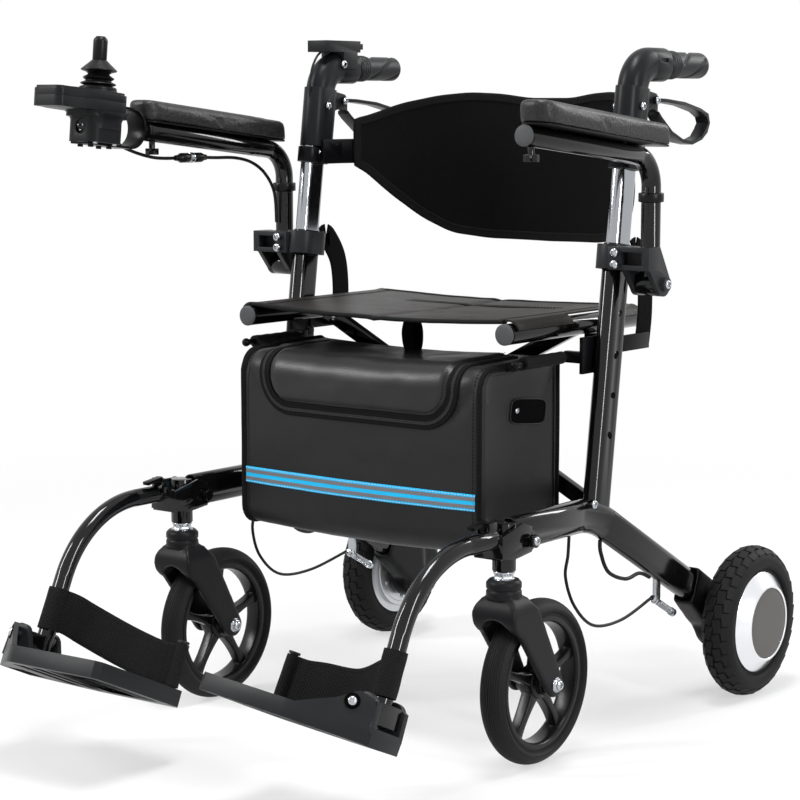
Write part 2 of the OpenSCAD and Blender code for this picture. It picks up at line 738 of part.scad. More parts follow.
hub_r = wheel_r - 32;

module rear_hub() {
  xo = rear_x + 30;
  translate([0, rear_y, axle_z]) rotate([0, 90, 0]) rotate_extrude($fn = 96)
    polygon([[0, xo - 8], [6 + run_gap, xo - 8], [6 + run_gap, 277.5], [hub_r - 10, 277.5],
      [hub_r - 10, rear_x - 17], [hub_r, rear_x - 17], [hub_r, rear_x + 18], [hub_r - 3, rear_x + 19.5],
      [hub_r - 18, xo], [hub_r - 20, xo + 1], [hub_r - 21.5, xo + 1], [hub_r - 21.5, xo], [0, xo]]);
}

module left_rear_hub() color("#c4c7cb") centred() rear_hub();
module right_rear_hub() color("#c4c7cb") centred() flip() rear_hub();

module rear_tyre() {
  translate([rear_x, rear_y, axle_z]) rotate([0, 90, 0]) rotate_extrude($fn = 96) difference() {
    union() {
      translate([hub_r + fit, -16]) square([12, 32]);
      translate([wheel_r - 18, 0]) scale_oval(18, rear_tyre_w / 2);
      translate([hub_r + 4, -rear_tyre_w / 2 + 3]) square([12, rear_tyre_w - 6]);
    }
    translate([0, -50]) square([hub_r + fit, 100]);
    for (k = [-1, 0, 1]) translate([wheel_r + 0.4 - k * k * 1.6, k * 8]) circle(r = 1.6, $fn = 16);
  }
}

module left_rear_tyre() color("#1a1a1b") centred() rear_tyre();
module right_rear_tyre() color("#1a1a1b") centred() flip() rear_tyre();

module hanger() {
  difference() {
    union() {
      for (s = [-1, 1])
        yz_plate(stem_x + s * (hang_in + hang_pl / 2) - hang_pl / 2, stem_x + s * (hang_in + hang_pl / 2) + hang_pl / 2) {
          polygon([[hang_y + 4, 296], [hang_y - 14, 302], [stem_y - 34, 292], [stem_y - 34, 266],
            [stem_y - 10, 262], [hang_y + 4, 266]]);
          translate([hang_y, hang_z]) circle(r = 13);
        }
      box(stem_x - hang_in - 1, stem_x + hang_in + 1, stem_y - 34, stem_y - 30, 264, 293);
      yz_run(hang_x, [stem_y - 31, hb_z], [hb_y, hb_z]) circle(r = hang_r);
      yz_bend(hang_x, [hb_y, hb_z - hb_r], hb_r, 88.8, 91.2 + hb_a) circle(r = hang_r - 0.05);
      plate_frame() translate([hang_x, 0, -hinge_s - 14]) cylinder(r = hang_r, h = hinge_s + 14);
      plate_frame() box(hinge_x - 14, hinge_x + 14, -29, 11, -hinge_s - 16, -hinge_s + 8);
      latch_base();
    }
    x_cyl(stem_x - 40, stem_x + 40, hang_y, hang_z, 4 + run_gap);
    plate_frame() y_cyl(-60, 40, hinge_x, -hinge_s, 4 + run_gap);
  }
}

module left_hanger() color("#17171a") centred() hanger();
module right_hanger() color("#17171a") centred() flip() hanger();

module latch() {
  difference() {
    union() {
      x_cyl(stem_x - 6, stem_x + 6, stem_y - 40, 304, 4.5);
      yz_plate(stem_x - 5, stem_x + 5)
        polygon([[stem_y - 42, 306.5], [stem_y - 66, 302], [stem_y - 67, 306], [stem_y - 40, 310]]);
    }
    x_cyl(stem_x - 20, stem_x + 20, stem_y - 40, 304, 2 + run_gap);
  }
}

module latch_base() {
  for (s = [-1, 1])
    box(stem_x + s * 8.5 - 2, stem_x + s * 8.5 + 2, stem_y - 44, stem_y - 30, 290, 308);
  x_cyl(stem_x - 10, stem_x + 10, stem_y - 40, 304, 2);
}

module left_latch() color("#1b1b1d") centred() latch();
module right_latch() color("#1b1b1d") centred() flip() latch();

plate_top = -104;
corner = [218, -93.2];
post = [82, 47];
strap_low = plate_top + 1;

module footplate(roll) {
  plate_frame() translate([hinge_x, 0, -hinge_s]) rotate([0, roll, 0]) translate([-hinge_x, 0, hinge_s]) difference() {
    union() {
      translate([0, 0, plate_top - plate_t]) linear_extrude(plate_t) difference() {
        polygon([[76, -83.2], [84, -89.2], [206, -97.2], corner, [286, -36], [286, 20], [270, 26],
          [200, 54], [84, 68], [76, 60]]);
        translate([hinge_x - 15, -31]) square([33, 44]);
      }
      for (y = [-38.5, 13])
        translate([0, y + 7.5, 0]) rotate([90, 0, 0]) linear_extrude(7.5) {
          polygon([[238, -110], [286, -110], [283, -78], [hinge_x + 13, -hinge_s + 8],
            [hinge_x - 13, -hinge_s + 8], [246, -92]]);
          translate([hinge_x, -hinge_s]) circle(r = 15);
        }
      translate([corner[0], corner[1], 0]) rotate([0, 0, atan2(-36 - corner[1], 286 - corner[0])])
        rotate([90, 0, 0]) translate([0, 0, -6.6]) linear_extrude(6)
        polygon([[1, plate_top - 8], [86, plate_top - 8], [86, -hinge_s - 2], [80, -hinge_s + 10], [62, -hinge_s + 13],
          [40, -hinge_s - 2], [1, plate_top + 1]]);
      y_cyl(-46, 20, hinge_x, -hinge_s, 4);
      translate([post[0], post[1], plate_top - plate_t]) cylinder(r = 5, h = plate_t + heel_h + 3);
      translate([post[0], post[1], strap_low + heel_h + 1]) cylinder(r = 7, h = 3);
    }
    for (k = [0:4])
      translate([92 + k * 28, -78, plate_top - plate_t - 1]) cube([20, 122 - k * 3, plate_t - 4]);
  }
}

module left_footplate() color("#2c2d30") centred() footplate(roll_left);
module right_footplate() color("#2c2d30") centred() flip() footplate(roll_right);

function rolled(p, a) = [hinge_x + (p[0] - hinge_x) * cos(a) + (p[2] + hinge_s) * sin(a), p[1],
  -hinge_s - (p[0] - hinge_x) * sin(a) + (p[2] + hinge_s) * cos(a)];

module heel_strap(roll) {
  low = -hinge_s + 16.5;
  c0 = low + heel_h / 2;
  c1 = strap_low + heel_h / 2;
  plate_frame() {
    difference() {
      translate([hang_x, 0, low]) cylinder(r = hang_r + 2.5, h = heel_h);
      translate([hang_x, 0, low - 1]) cylinder(r = hang_r + 0.3, h = heel_h + 2);
    }
    translate([hinge_x, 0, -hinge_s]) rotate([0, roll, 0]) translate([-hinge_x, 0, hinge_s]) difference() {
      translate([post[0], post[1], strap_low]) cylinder(r = 7.5, h = heel_h);
      translate([post[0], post[1], strap_low - 2]) cylinder(r = 5.3, h = heel_h + 4);
    }
    strip(smooth([[hang_x - hang_r - 1.2, 2, c0], [242, 8, c0], [236, 15, c0], [222, 30, c0 * 0.65 + c1 * 0.35],
      [180, 50, c0 * 0.35 + c1 * 0.65],
      rolled([130, post[1] + 5, c1], roll), rolled([post[0] + 7.3, post[1] + 2, c1], roll)], 3), [0, 0, 1], heel_h, 2);
  }
}

module left_heel_strap() color("#19191b") centred() heel_strap(roll_left);
module right_heel_strap() color("#19191b") centred() flip() heel_strap(roll_right);

module attendant_box() color("#2f3033") centred() flip() {
  difference() {
    box(head_x - 17, head_x + 17, 163, 236, 852.5, 868);
    box(head_x - 8, head_x + 8, 224, 240, 856, 866);
  }
  translate([head_x, 230, 852.5]) cylinder(r = 2.5, h = 15);
  difference() {
    box(head_x - 20, head_x + 20, 196, 226, 830, 853);
    yz_run(head_x, [150, grip_z], [240, grip_z]) obround(42 + 2 * fit, hd_w + 2 * fit);
  }
}

module attendant_lever() color("#1e1f21") centred() flip() {
  difference() {
    union() {
      translate([head_x, 230, 857]) cylinder(r = 5, h = 8);
      box(head_x - 4, head_x + 4, 230, 258, 857, 865);
    }
    translate([head_x, 230, 850]) cylinder(r = 2.5 + run_gap, h = 20);
  }
}

module case_plan(g) {
  polygon([[-25 - g, -100], [-13, -112 - g], [13, -112 - g], [25 + g, -100], [25 + g, -82], [32 + g, -58], [34 + g, -30],
    [34 + g, 8], [26 + g, 24], [12, 30 + g], [-12, 30 + g], [-26 - g, 24], [-34 - g, 8], [-34 - g, -30], [-32 - g, -58],
    [-25 - g, -82]]);
  for (q = [-1, 1]) translate([q * 13, -100]) circle(r = 12 + g);
  for (q = [-1, 1]) translate([q * 12, 8]) circle(r = 22 + g);
}

module joystick_bracket() color("#1b1b1d") centred() flip() {
  e = arm_e + 4 * arm_dir;
  difference() {
    union() {
      joy_frame() yz_plate(-15, 15) {
        translate([-27, -66]) square([77, 3]);
        difference() {
          translate([49, -40]) circle(r = 26);
          translate([49, -40]) circle(r = 23);
          translate([9, -70]) square([40, 60]);
        }
        translate([36, -17]) square([14, 3]);
      }
      yz_run(arm_x, e - 0.05 * [1, 0], e + 8 * arm_dir) circle(r = 9);
    }
    joy_frame() translate([-30, 49, -40]) rotate([0, 90, 0]) cylinder(r = 23, h = 60);
  }
  for (q = [-1, 1])
    for (y = [-16, 16])
      joy_frame() translate([q * 9, y, -69]) cylinder(r = 3.5, h = 3.5);
}

module joystick_lower() color("#2b2c2f") centred() flip() joy_frame() {
  difference() {
    union() {
      translate([0, 0, -25]) linear_extrude(13) case_plan(0);
      translate([0, 0, -62.95]) linear_extrude(38.5) round_rect(54, 50, 12);
      translate([0, 0, -32]) linear_extrude(8) round_rect(66, 56, 14);
    }
    translate([0, 0, -22]) linear_extrude(20) case_plan(-3);
    y_cyl(-40, -18, 0, -44, 10);
  }
  y_cyl(-24, -16, 0, -44, 7);
}

module joystick_upper() color("#333437") centred() flip() joy_frame() {
  difference() {
    union() {
      translate([0, 0, -11.95]) linear_extrude(9) case_plan(0);
      translate([0, 0, -3]) linear_extrude(3) case_plan(-2.5);
      translate([0, 0, -0.5]) cylinder(r = 24, h = 3);
    }
    translate([0, 0, -13]) linear_extrude(10) case_plan(-3);
    translate([0, 0, -13]) cylinder(r = 11.5, h = 30);
  }
  difference() {
    for (q = [-1, 1]) box(q * 14 - 1.5, q * 14 + 1.5, -5, 5, joy_piv - 5, -2);
    x_cyl(-20, 20, 0, joy_piv, 2 + run_gap);
  }
}

module joystick_gimbal() color("#3a3b3e") centred() flip() joy_frame() {
  difference() {
    union() {
      translate([0, 0, joy_piv - 3]) cylinder(r = 10.5, h = 6);
      x_cyl(-15.2, 15.2, 0, joy_piv, 2);
    }
    translate([0, 0, joy_piv - 4]) cylinder(r = 7.5, h = 8);
    y_cyl(-20, 20, 0, joy_piv, 1.6 + run_gap);
  }
}

module joystick_stick() color("#1a1a1b") centred() flip() joy_frame() {
  translate([0, 0, joy_piv - 6]) cylinder(r = 3.5, h = 60);
  y_cyl(-10.4, 10.4, 0, joy_piv, 1.6);
  rotate_extrude() {
    translate([0, 40.5]) square([9, 22.5]);
    translate([0, 62]) square([6, 7]);
    intersection() {
      translate([3, 63]) circle(r = 6);
      translate([0, 60]) square([9, 9]);
    }
  }
}

module joystick_boot() color("#161617") centred() flip() joy_frame() {
  rotate_extrude() polygon([[14, 2.55], [23.5, 2.55], [23.5, 6.2], [17, 7], [22.6, 10.2], [15.6, 14], [19.8, 17.5],
    [13.2, 22.4], [22.5, 26.4], [22.2, 28], [9.6, 40], [7.6, 40], [7.6, 36], [17.4, 27.4], [10.8, 22.4], [16.6, 17.5],
    [12.6, 14], [18.6, 10.2], [14, 7]]);
}

module joystick_cable() color("#151517") centred() flip() {
  cord(smooth([[joy_x + 19, joy_y + 22.3, joy_z - 49], [joy_x + 19, joy_y + 40, joy_z - 56],
    [joy_x + 17, joy_y + 66, 726], [joy_x + 8, -98, 714], [joy_x, -52, 713]], 3), 2.2, [1, 0, 0]);
  y_cyl(-54, -18, joy_x, 713, 5);
  cord(smooth([[joy_x, -20, 713], [joy_x, 10, 712], [joy_x, 50, 711], [joy_x, 84, 704], [joy_x - 3, 108, 688],
    [joy_x - 5, 124, 662], [arm_x, 127, 622]], 3), 2.2, [1, 0, 0]);
}

left_side_frame();
right_side_frame();
left_rear_bracket();
right_rear_bracket();
left_arm_clamp();
right_arm_clamp();
left_bag_rod();
right_bag_rod();
left_side_strap();
right_side_strap();
left_cables();
right_cables();
left_brake_gear();
right_brake_gear();
brace_a();
brace_b();
seat_sling();
bag();
left_handle_tube();
right_handle_tube();
left_head_cover();
right_head_cover();
left_grip();
right_grip();
left_back_bracket();
right_back_bracket();
backrest();
left_brake_lever();
right_brake_lever();
left_arm_tube();
right_arm_tube();
left_arm_pad();
right_arm_pad();
left_fork();
right_fork();
left_front_rim();
right_front_rim();
left_front_tyre();
right_front_tyre();
left_rear_hub();
right_rear_hub();
left_rear_tyre();
right_rear_tyre();
left_hanger();
right_hanger();
left_latch();
right_latch();
left_footplate();
right_footplate();
left_heel_strap();
right_heel_strap();
attendant_box();
attendant_lever();
joystick_bracket();
joystick_lower();
joystick_upper();
joystick_gimbal();
joystick_stick();
joystick_boot();
joystick_cable();
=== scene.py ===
"""Dresses the folding walker chair: frame, wheels, seat, bag, handles, arm rests, joystick and foot rests."""

from __future__ import annotations

import json
import logging
from dataclasses import dataclass, field
from enum import Enum
from math import asin, copysign, cos, dist, exp, pi, radians, sin, sqrt, tan, tau
from typing import Callable, Sequence

import bmesh
import bpy
from mathutils import Vector, noise
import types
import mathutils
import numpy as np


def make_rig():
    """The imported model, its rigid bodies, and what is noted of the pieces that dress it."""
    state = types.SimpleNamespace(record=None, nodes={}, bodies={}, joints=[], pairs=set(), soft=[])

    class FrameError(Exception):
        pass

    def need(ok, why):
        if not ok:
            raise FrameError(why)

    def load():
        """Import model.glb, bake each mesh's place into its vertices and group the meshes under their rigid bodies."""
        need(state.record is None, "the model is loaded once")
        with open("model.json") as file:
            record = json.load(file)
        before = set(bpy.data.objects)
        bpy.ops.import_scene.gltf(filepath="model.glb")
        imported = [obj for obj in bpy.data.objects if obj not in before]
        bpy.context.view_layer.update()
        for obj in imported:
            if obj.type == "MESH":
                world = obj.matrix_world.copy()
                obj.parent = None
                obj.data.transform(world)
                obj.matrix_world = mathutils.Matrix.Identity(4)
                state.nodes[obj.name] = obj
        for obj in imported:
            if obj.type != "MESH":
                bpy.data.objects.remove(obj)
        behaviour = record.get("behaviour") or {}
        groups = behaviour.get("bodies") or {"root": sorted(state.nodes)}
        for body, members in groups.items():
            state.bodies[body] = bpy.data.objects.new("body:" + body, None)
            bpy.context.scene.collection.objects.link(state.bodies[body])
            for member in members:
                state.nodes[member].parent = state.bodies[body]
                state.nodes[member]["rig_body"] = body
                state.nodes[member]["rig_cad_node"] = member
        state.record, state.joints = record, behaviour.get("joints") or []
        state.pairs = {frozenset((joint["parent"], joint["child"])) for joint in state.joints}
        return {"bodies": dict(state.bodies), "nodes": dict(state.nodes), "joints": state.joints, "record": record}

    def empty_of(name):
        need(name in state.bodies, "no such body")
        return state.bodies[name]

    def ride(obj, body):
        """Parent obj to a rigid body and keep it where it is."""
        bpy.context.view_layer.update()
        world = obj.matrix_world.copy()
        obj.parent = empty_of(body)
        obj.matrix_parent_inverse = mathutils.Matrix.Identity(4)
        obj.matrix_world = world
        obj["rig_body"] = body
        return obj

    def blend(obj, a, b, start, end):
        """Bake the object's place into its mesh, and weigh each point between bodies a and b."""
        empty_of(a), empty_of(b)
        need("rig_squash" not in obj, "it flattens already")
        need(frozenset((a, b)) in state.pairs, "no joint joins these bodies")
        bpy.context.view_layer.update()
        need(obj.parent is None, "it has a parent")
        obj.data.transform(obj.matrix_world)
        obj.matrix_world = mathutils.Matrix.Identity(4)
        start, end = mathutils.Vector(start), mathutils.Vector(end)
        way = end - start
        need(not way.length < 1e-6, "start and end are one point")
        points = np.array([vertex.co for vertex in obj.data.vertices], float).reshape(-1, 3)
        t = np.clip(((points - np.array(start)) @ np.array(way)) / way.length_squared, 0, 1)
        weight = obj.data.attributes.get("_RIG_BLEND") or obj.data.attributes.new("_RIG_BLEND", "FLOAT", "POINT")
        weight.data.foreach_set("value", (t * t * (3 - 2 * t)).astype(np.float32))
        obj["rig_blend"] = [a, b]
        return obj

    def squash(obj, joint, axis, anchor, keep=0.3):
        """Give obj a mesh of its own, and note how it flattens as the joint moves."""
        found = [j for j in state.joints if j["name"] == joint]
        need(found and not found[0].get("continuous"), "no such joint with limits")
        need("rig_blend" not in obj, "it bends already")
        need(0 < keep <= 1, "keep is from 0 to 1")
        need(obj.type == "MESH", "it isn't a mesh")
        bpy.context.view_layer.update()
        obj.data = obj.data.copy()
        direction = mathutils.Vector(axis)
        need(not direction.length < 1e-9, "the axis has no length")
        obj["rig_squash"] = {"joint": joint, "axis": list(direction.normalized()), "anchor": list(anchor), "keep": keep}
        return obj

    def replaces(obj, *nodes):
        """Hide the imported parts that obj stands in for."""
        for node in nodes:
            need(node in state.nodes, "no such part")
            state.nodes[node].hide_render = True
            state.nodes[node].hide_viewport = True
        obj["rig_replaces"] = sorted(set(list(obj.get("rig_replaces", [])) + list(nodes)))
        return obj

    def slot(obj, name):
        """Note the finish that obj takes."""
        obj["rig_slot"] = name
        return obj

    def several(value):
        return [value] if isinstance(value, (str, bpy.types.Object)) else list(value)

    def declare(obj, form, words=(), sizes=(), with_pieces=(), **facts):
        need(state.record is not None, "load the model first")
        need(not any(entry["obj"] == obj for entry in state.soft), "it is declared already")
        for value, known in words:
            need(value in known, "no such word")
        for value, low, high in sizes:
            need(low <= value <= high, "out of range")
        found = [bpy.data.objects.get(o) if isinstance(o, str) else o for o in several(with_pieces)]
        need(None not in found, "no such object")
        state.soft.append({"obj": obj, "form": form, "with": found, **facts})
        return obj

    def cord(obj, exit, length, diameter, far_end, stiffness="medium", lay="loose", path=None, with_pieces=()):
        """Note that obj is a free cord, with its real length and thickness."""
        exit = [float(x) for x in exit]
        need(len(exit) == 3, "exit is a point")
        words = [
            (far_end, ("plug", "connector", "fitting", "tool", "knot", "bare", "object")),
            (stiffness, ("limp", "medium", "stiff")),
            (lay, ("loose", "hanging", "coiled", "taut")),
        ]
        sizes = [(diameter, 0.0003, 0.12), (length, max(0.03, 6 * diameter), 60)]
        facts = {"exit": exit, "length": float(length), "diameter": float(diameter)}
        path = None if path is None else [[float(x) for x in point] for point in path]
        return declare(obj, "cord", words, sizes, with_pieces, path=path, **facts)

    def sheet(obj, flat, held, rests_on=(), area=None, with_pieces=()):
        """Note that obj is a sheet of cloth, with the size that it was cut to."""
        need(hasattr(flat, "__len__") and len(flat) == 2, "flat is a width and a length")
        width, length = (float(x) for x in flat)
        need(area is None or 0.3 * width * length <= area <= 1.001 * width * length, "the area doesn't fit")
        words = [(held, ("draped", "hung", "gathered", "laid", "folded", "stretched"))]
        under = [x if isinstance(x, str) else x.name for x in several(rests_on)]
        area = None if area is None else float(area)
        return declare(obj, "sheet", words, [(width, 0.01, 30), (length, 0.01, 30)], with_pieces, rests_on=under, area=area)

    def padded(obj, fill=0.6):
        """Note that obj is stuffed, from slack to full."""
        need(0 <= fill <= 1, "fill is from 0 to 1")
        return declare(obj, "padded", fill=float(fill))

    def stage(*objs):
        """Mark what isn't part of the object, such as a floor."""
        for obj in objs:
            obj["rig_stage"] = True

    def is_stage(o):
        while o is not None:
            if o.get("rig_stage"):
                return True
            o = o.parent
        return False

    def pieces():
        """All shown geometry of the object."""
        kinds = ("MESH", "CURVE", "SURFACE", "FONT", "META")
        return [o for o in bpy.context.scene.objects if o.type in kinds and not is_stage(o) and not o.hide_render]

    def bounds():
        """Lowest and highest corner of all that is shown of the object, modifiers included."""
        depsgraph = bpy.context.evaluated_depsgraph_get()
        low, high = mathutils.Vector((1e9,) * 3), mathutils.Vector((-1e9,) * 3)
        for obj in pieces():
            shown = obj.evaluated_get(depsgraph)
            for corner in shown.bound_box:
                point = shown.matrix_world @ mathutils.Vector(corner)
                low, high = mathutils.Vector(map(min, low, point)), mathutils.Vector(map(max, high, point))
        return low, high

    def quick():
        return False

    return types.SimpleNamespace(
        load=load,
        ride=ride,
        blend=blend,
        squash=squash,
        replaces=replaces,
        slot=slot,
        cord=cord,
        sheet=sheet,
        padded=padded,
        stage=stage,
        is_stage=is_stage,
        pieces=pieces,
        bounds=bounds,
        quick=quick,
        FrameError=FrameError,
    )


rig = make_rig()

LOG = logging.getLogger("walker_chair")
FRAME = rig.load()
CAD_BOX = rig.bounds()
# How far the source's y stands from the frame's, and how far folding draws the sides in, in millimetres.
Y_MID = -19.0
FOLD_MOVE = 140.3
# Edges past this angle are rounded or stay sharp, in degrees.
SHARP = 32.0
# How far gloss swings with the tone, and how far a bump reaches, in metres.
GLOSS_SWING = 0.08
BUMP_REACH = 0.0006
OUT, REAR, UP = Vector((1, 0, 0)), Vector((0, 1, 0)), Vector((0, 0, 1))
Flat = tuple[float, float]
Point = tuple[float, float, float]
Piece = bpy.types.Object
Socket = bpy.types.NodeSocket
Outputs = bpy.types.NodeOutputs
Feeds = dict[str, Socket]


class Side(Enum):
    """The two sides of the chair, as seen by the person who sits in it."""

    LEFT = 1
    RIGHT = -1

    @property
    def word(self) -> str:
        """The side's word in node and body names."""
        return "left" if self is Side.LEFT else "right"

    def at(self, x: float, y: float, z: float) -> Vector:
        """A point of this side, from the source's millimetres."""
        return Vector((self.value * x / 1000, (y + Y_MID) / 1000, z / 1000))

    def curve(self, points: Sequence[Point], steps: int = 8) -> list[Vector]:
        """The smooth curve through some points of this side."""
        return smooth_path([self.at(*p) for p in points], steps)

    def node(self, part: str) -> str:
        """The name of this side's node."""
        return f"{self.word}_{part}"


def at(x: float, y: float, z: float) -> Vector:
    """A point in metres, from the source's millimetres."""
    return Side.LEFT.at(x, y, z)


def spaced(low: float, high: float, steps: int) -> list[float]:
    """Even steps from one value to another, with both ends."""
    return [low + (high - low) * k / steps for k in range(steps + 1)]


def clamp(value: float, low: float = 0.0, high: float = 1.0) -> float:
    """A value kept between two others."""
    return max(low, min(high, value))


def turns(count: int) -> list[float]:
    """The angles of so many points round a circle."""
    return [tau * k / count for k in range(count)]


def squarish(angle: float, power: float, upright: float | None = None) -> Flat:
    """A point of a unit circle that is drawn out towards a square.

    Args:
        angle: where on the circle.
        power: how square it is, from 1 for round to 0.
        upright: the same for the second axis, where it differs.

    Returns:
        The point.
    """
    c, s = cos(angle), sin(angle)
    return copysign(abs(c) ** power, c), copysign(abs(s) ** (upright or power), s)


def length_of(path: Sequence[Vector]) -> float:
    """The length of a line through some points."""
    return sum((b - a).length for a, b in zip(path, path[1:]))


def linear(code: str) -> tuple[float, float, float, float]:
    """Turns a hex colour into a linear one.

    Args:
        code: six hex digits after a hash sign.

    Returns:
        Red, green, blue and alpha for a shader socket.
    """
    parts = [int(code[i:i + 2], 16) / 255 for i in (1, 3, 5)]
    return (*[c / 12.92 if c <= 0.04045 else ((c + 0.055) / 1.055) ** 2.4 for c in parts], 1.0)


def scaled(colour: Sequence[float], share: float) -> tuple[float, float, float, float]:
    """A linear colour made lighter or darker by a share."""
    return (colour[0] * share, colour[1] * share, colour[2] * share, 1.0)


class Bench:
    """Adds nodes to one tree in few words."""

    def __init__(self, tree: bpy.types.NodeTree) -> None:
        """Keeps the tree that nodes go into."""
        self.tree = tree

    @classmethod
    def on(cls, owner: bpy.types.Material | bpy.types.World) -> Bench:
        """A bench on the emptied tree of a material or a world."""
        owner.use_nodes = True
        owner.node_tree.nodes.clear()
        return cls(owner.node_tree)

    def add(self, kind: str, feeds: dict | None = None, **traits: object) -> bpy.types.Node:
        """Adds one node.

        Args:
            kind: the node's type name.
            feeds: values or output sockets for its inputs, by name or index.
            traits: settings of the node itself.

        Returns:
            The new node.
        """
        node = self.tree.nodes.new(kind)
        for key, value in traits.items():
            setattr(node, key, value)
        for key, value in (feeds or {}).items():
            if isinstance(value, Socket):
                self.tree.links.new(value, node.inputs[key])
            else:
                node.inputs[key].default_value = value
        return node

    def math(self, operation: str, a: object, b: object = 0.0) -> Socket:
        """The result of one sum on values or sockets."""
        return self.add("ShaderNodeMath", {0: a, 1: b}, operation=operation).outputs[0]

    def mix(self, factor: object, a: object, b: object) -> Socket:
        """A colour between two colours."""
        return self.add("ShaderNodeMix", {0: factor, 6: a, 7: b}, data_type="RGBA").outputs[2]

    def span(self, value: object, low: float, high: float) -> Socket:
        """A value from 0 to 1 spread between two others."""
        return self.add("ShaderNodeMapRange", {0: value, 3: low, 4: high}).outputs[0]

    def coords(self, kind: str = "Object") -> Socket:
        """Where on its piece a point of the surface is."""
        return self.add("ShaderNodeTexCoord").outputs[kind]

    def noise(self, place_: Socket, scale: object, detail: float) -> Socket:
        """Noise over the surface."""
        return self.add("ShaderNodeTexNoise", {"Vector": place_, "Scale": scale, "Detail": detail}).outputs[0]

    def seen(self) -> Socket:
        """Whether a ray shows the background, straight or in metal or glass."""
        path = self.add("ShaderNodeLightPath").outputs
        mirrored = self.math("MAXIMUM", path["Is Glossy Ray"], path["Is Transmission Ray"])
        return self.math("MAXIMUM", path["Is Camera Ray"], mirrored)

    def group(self, name: str, values: dict[str, float], fill: Fill) -> Outputs:
        """Places a shader group with its own values.

        Args:
            name: the group's name, which is built at its first use.
            values: its inputs.
            fill: puts its nodes in, given a bench and the inputs' sockets, and gives its outputs.

        Returns:
            The placed group's outputs.
        """
        tree = bpy.data.node_groups.get(name)
        if not tree:
            tree = bpy.data.node_groups.new(name, "ShaderNodeTree")
            for key, value in values.items():
                socket = tree.interface.new_socket(key, in_out="INPUT", socket_type="NodeSocketFloat")
                socket.default_value = value
            bench = Bench(tree)
            made = fill(bench, bench.add("NodeGroupInput").outputs)
            for key in made:
                tree.interface.new_socket(key, in_out="OUTPUT", socket_type="NodeSocketFloat")
            bench.add("NodeGroupOutput", made)
        return self.add("ShaderNodeGroup", values, node_tree=tree).outputs


Fill = Callable[[Bench, Outputs], Feeds]


def fill_grain(bench: Bench, given: Outputs) -> Feeds:
    """Fine moulded grain, with slow patches of tone."""
    spot = bench.coords()
    return {"Height": bench.noise(spot, given["Scale"], 3.0), "Tone": bench.noise(spot, given["Patch"], 4.0)}


def fill_dust(bench: Bench, given: Outputs) -> Feeds:
    """Dust that lies on faces that look up, broken by noise.

    Args:
        bench: the group's bench.
        given: its inputs.

    Returns:
        Its outputs.
    """
    up = bench.add("ShaderNodeSeparateXYZ", {0: bench.coords("Normal")}).outputs[2]
    spots = bench.span(bench.noise(bench.coords(), 38.0, 6.0), -0.4, 1.4)
    mask = bench.math("MULTIPLY", bench.math("MAXIMUM", up, 0.0), spots)
    return {"Mask": bench.math("MULTIPLY", mask, given["Amount"])}


def fill_wear(bench: Bench, given: Outputs) -> Feeds:
    """Rubbed edges, from the sharpness of the surface.

    Args:
        bench: the group's bench.
        given: its inputs.

    Returns:
        Its outputs.
    """
    sharp = bench.add("ShaderNodeNewGeometry").outputs["Pointiness"]
    edge = bench.add("ShaderNodeMapRange", {0: sharp, 1: 0.53, 2: 0.62}).outputs[0]
    mask = bench.math("MULTIPLY", edge, bench.noise(bench.coords(), 120.0, 5.0))
    return {"Mask": bench.math("MULTIPLY", mask, given["Amount"])}


def fill_weave(bench: Bench, given: Outputs) -> Feeds:
    """Threads that pass over and under each other, along the piece's own map, their tone darker in the dips between
    threads as painted shade and varied in slow random patches.

    Args:
        bench: the group's bench.
        given: its inputs.

    Returns:
        Its outputs.
    """
    count = bench.add("ShaderNodeCombineXYZ", {0: given["Across"], 1: given["Along"], 2: 1.0}).outputs[0]
    grid = bench.add("ShaderNodeVectorMath", {0: bench.coords("UV"), 1: count},
                     operation="MULTIPLY").outputs[0]
    axes = bench.add("ShaderNodeSeparateXYZ", {0: grid}).outputs
    over = bench.add("ShaderNodeTexChecker", {"Vector": grid, "Scale": 1.0}).outputs["Fac"]
    waves = [bench.math("SINE", bench.math("MULTIPLY", axes[k], pi)) for k in (0, 1)]
    first = bench.math("MULTIPLY", bench.math("ABSOLUTE", waves[0]), over)
    second = bench.math("MULTIPLY", bench.math("ABSOLUTE", waves[1]), bench.math("SUBTRACT", 1.0, over))
    height = bench.math("ADD", first, second)
    fuzz = bench.math("MULTIPLY", bench.noise(bench.coords(), 650.0, 3.0), 0.6)
    broad = bench.span(bench.noise(bench.coords(), 26.0, 4.0), 0.5, 1.5)
    # Painted shade: the tone follows the weave's height, so the dips between threads are darker.
    return {"Height": bench.math("ADD", height, fuzz),
            "Tone": bench.math("MULTIPLY", bench.span(height, 0.35, 1.0), broad)}


def fill_pebble(bench: Bench, given: Outputs) -> Feeds:
    """Pebbled skin with creases between the pebbles, its tone lighter on the pebbles and darker in the creases as
    painted light and shade, varied in slow random patches.

    Args:
        bench: the group's bench.
        given: its inputs.

    Returns:
        Its outputs.
    """
    spot = bench.coords()
    cells = bench.add("ShaderNodeTexVoronoi", {"Vector": spot, "Scale": given["Scale"]}, feature="SMOOTH_F1")
    height = bench.math("SUBTRACT", 1.0, cells.outputs["Distance"])
    broad = bench.span(bench.noise(spot, given["Patch"], 5.0), 0.5, 1.3)
    # Painted light and shade: the tone follows the pebbles' height, light on their tops and dark in the creases.
    return {"Height": height, "Tone": bench.math("MULTIPLY", height, broad)}


class Texture(Enum):
    """The ways a surface's small relief is made: a group's name, its inputs and what fills it."""

    GRAIN = ("moulded_grain", ("Scale", "Patch"), fill_grain)
    PEBBLE = ("pebbled_skin", ("Scale", "Patch"), fill_pebble)
    WEAVE = ("woven_threads", ("Across", "Along"), fill_weave)


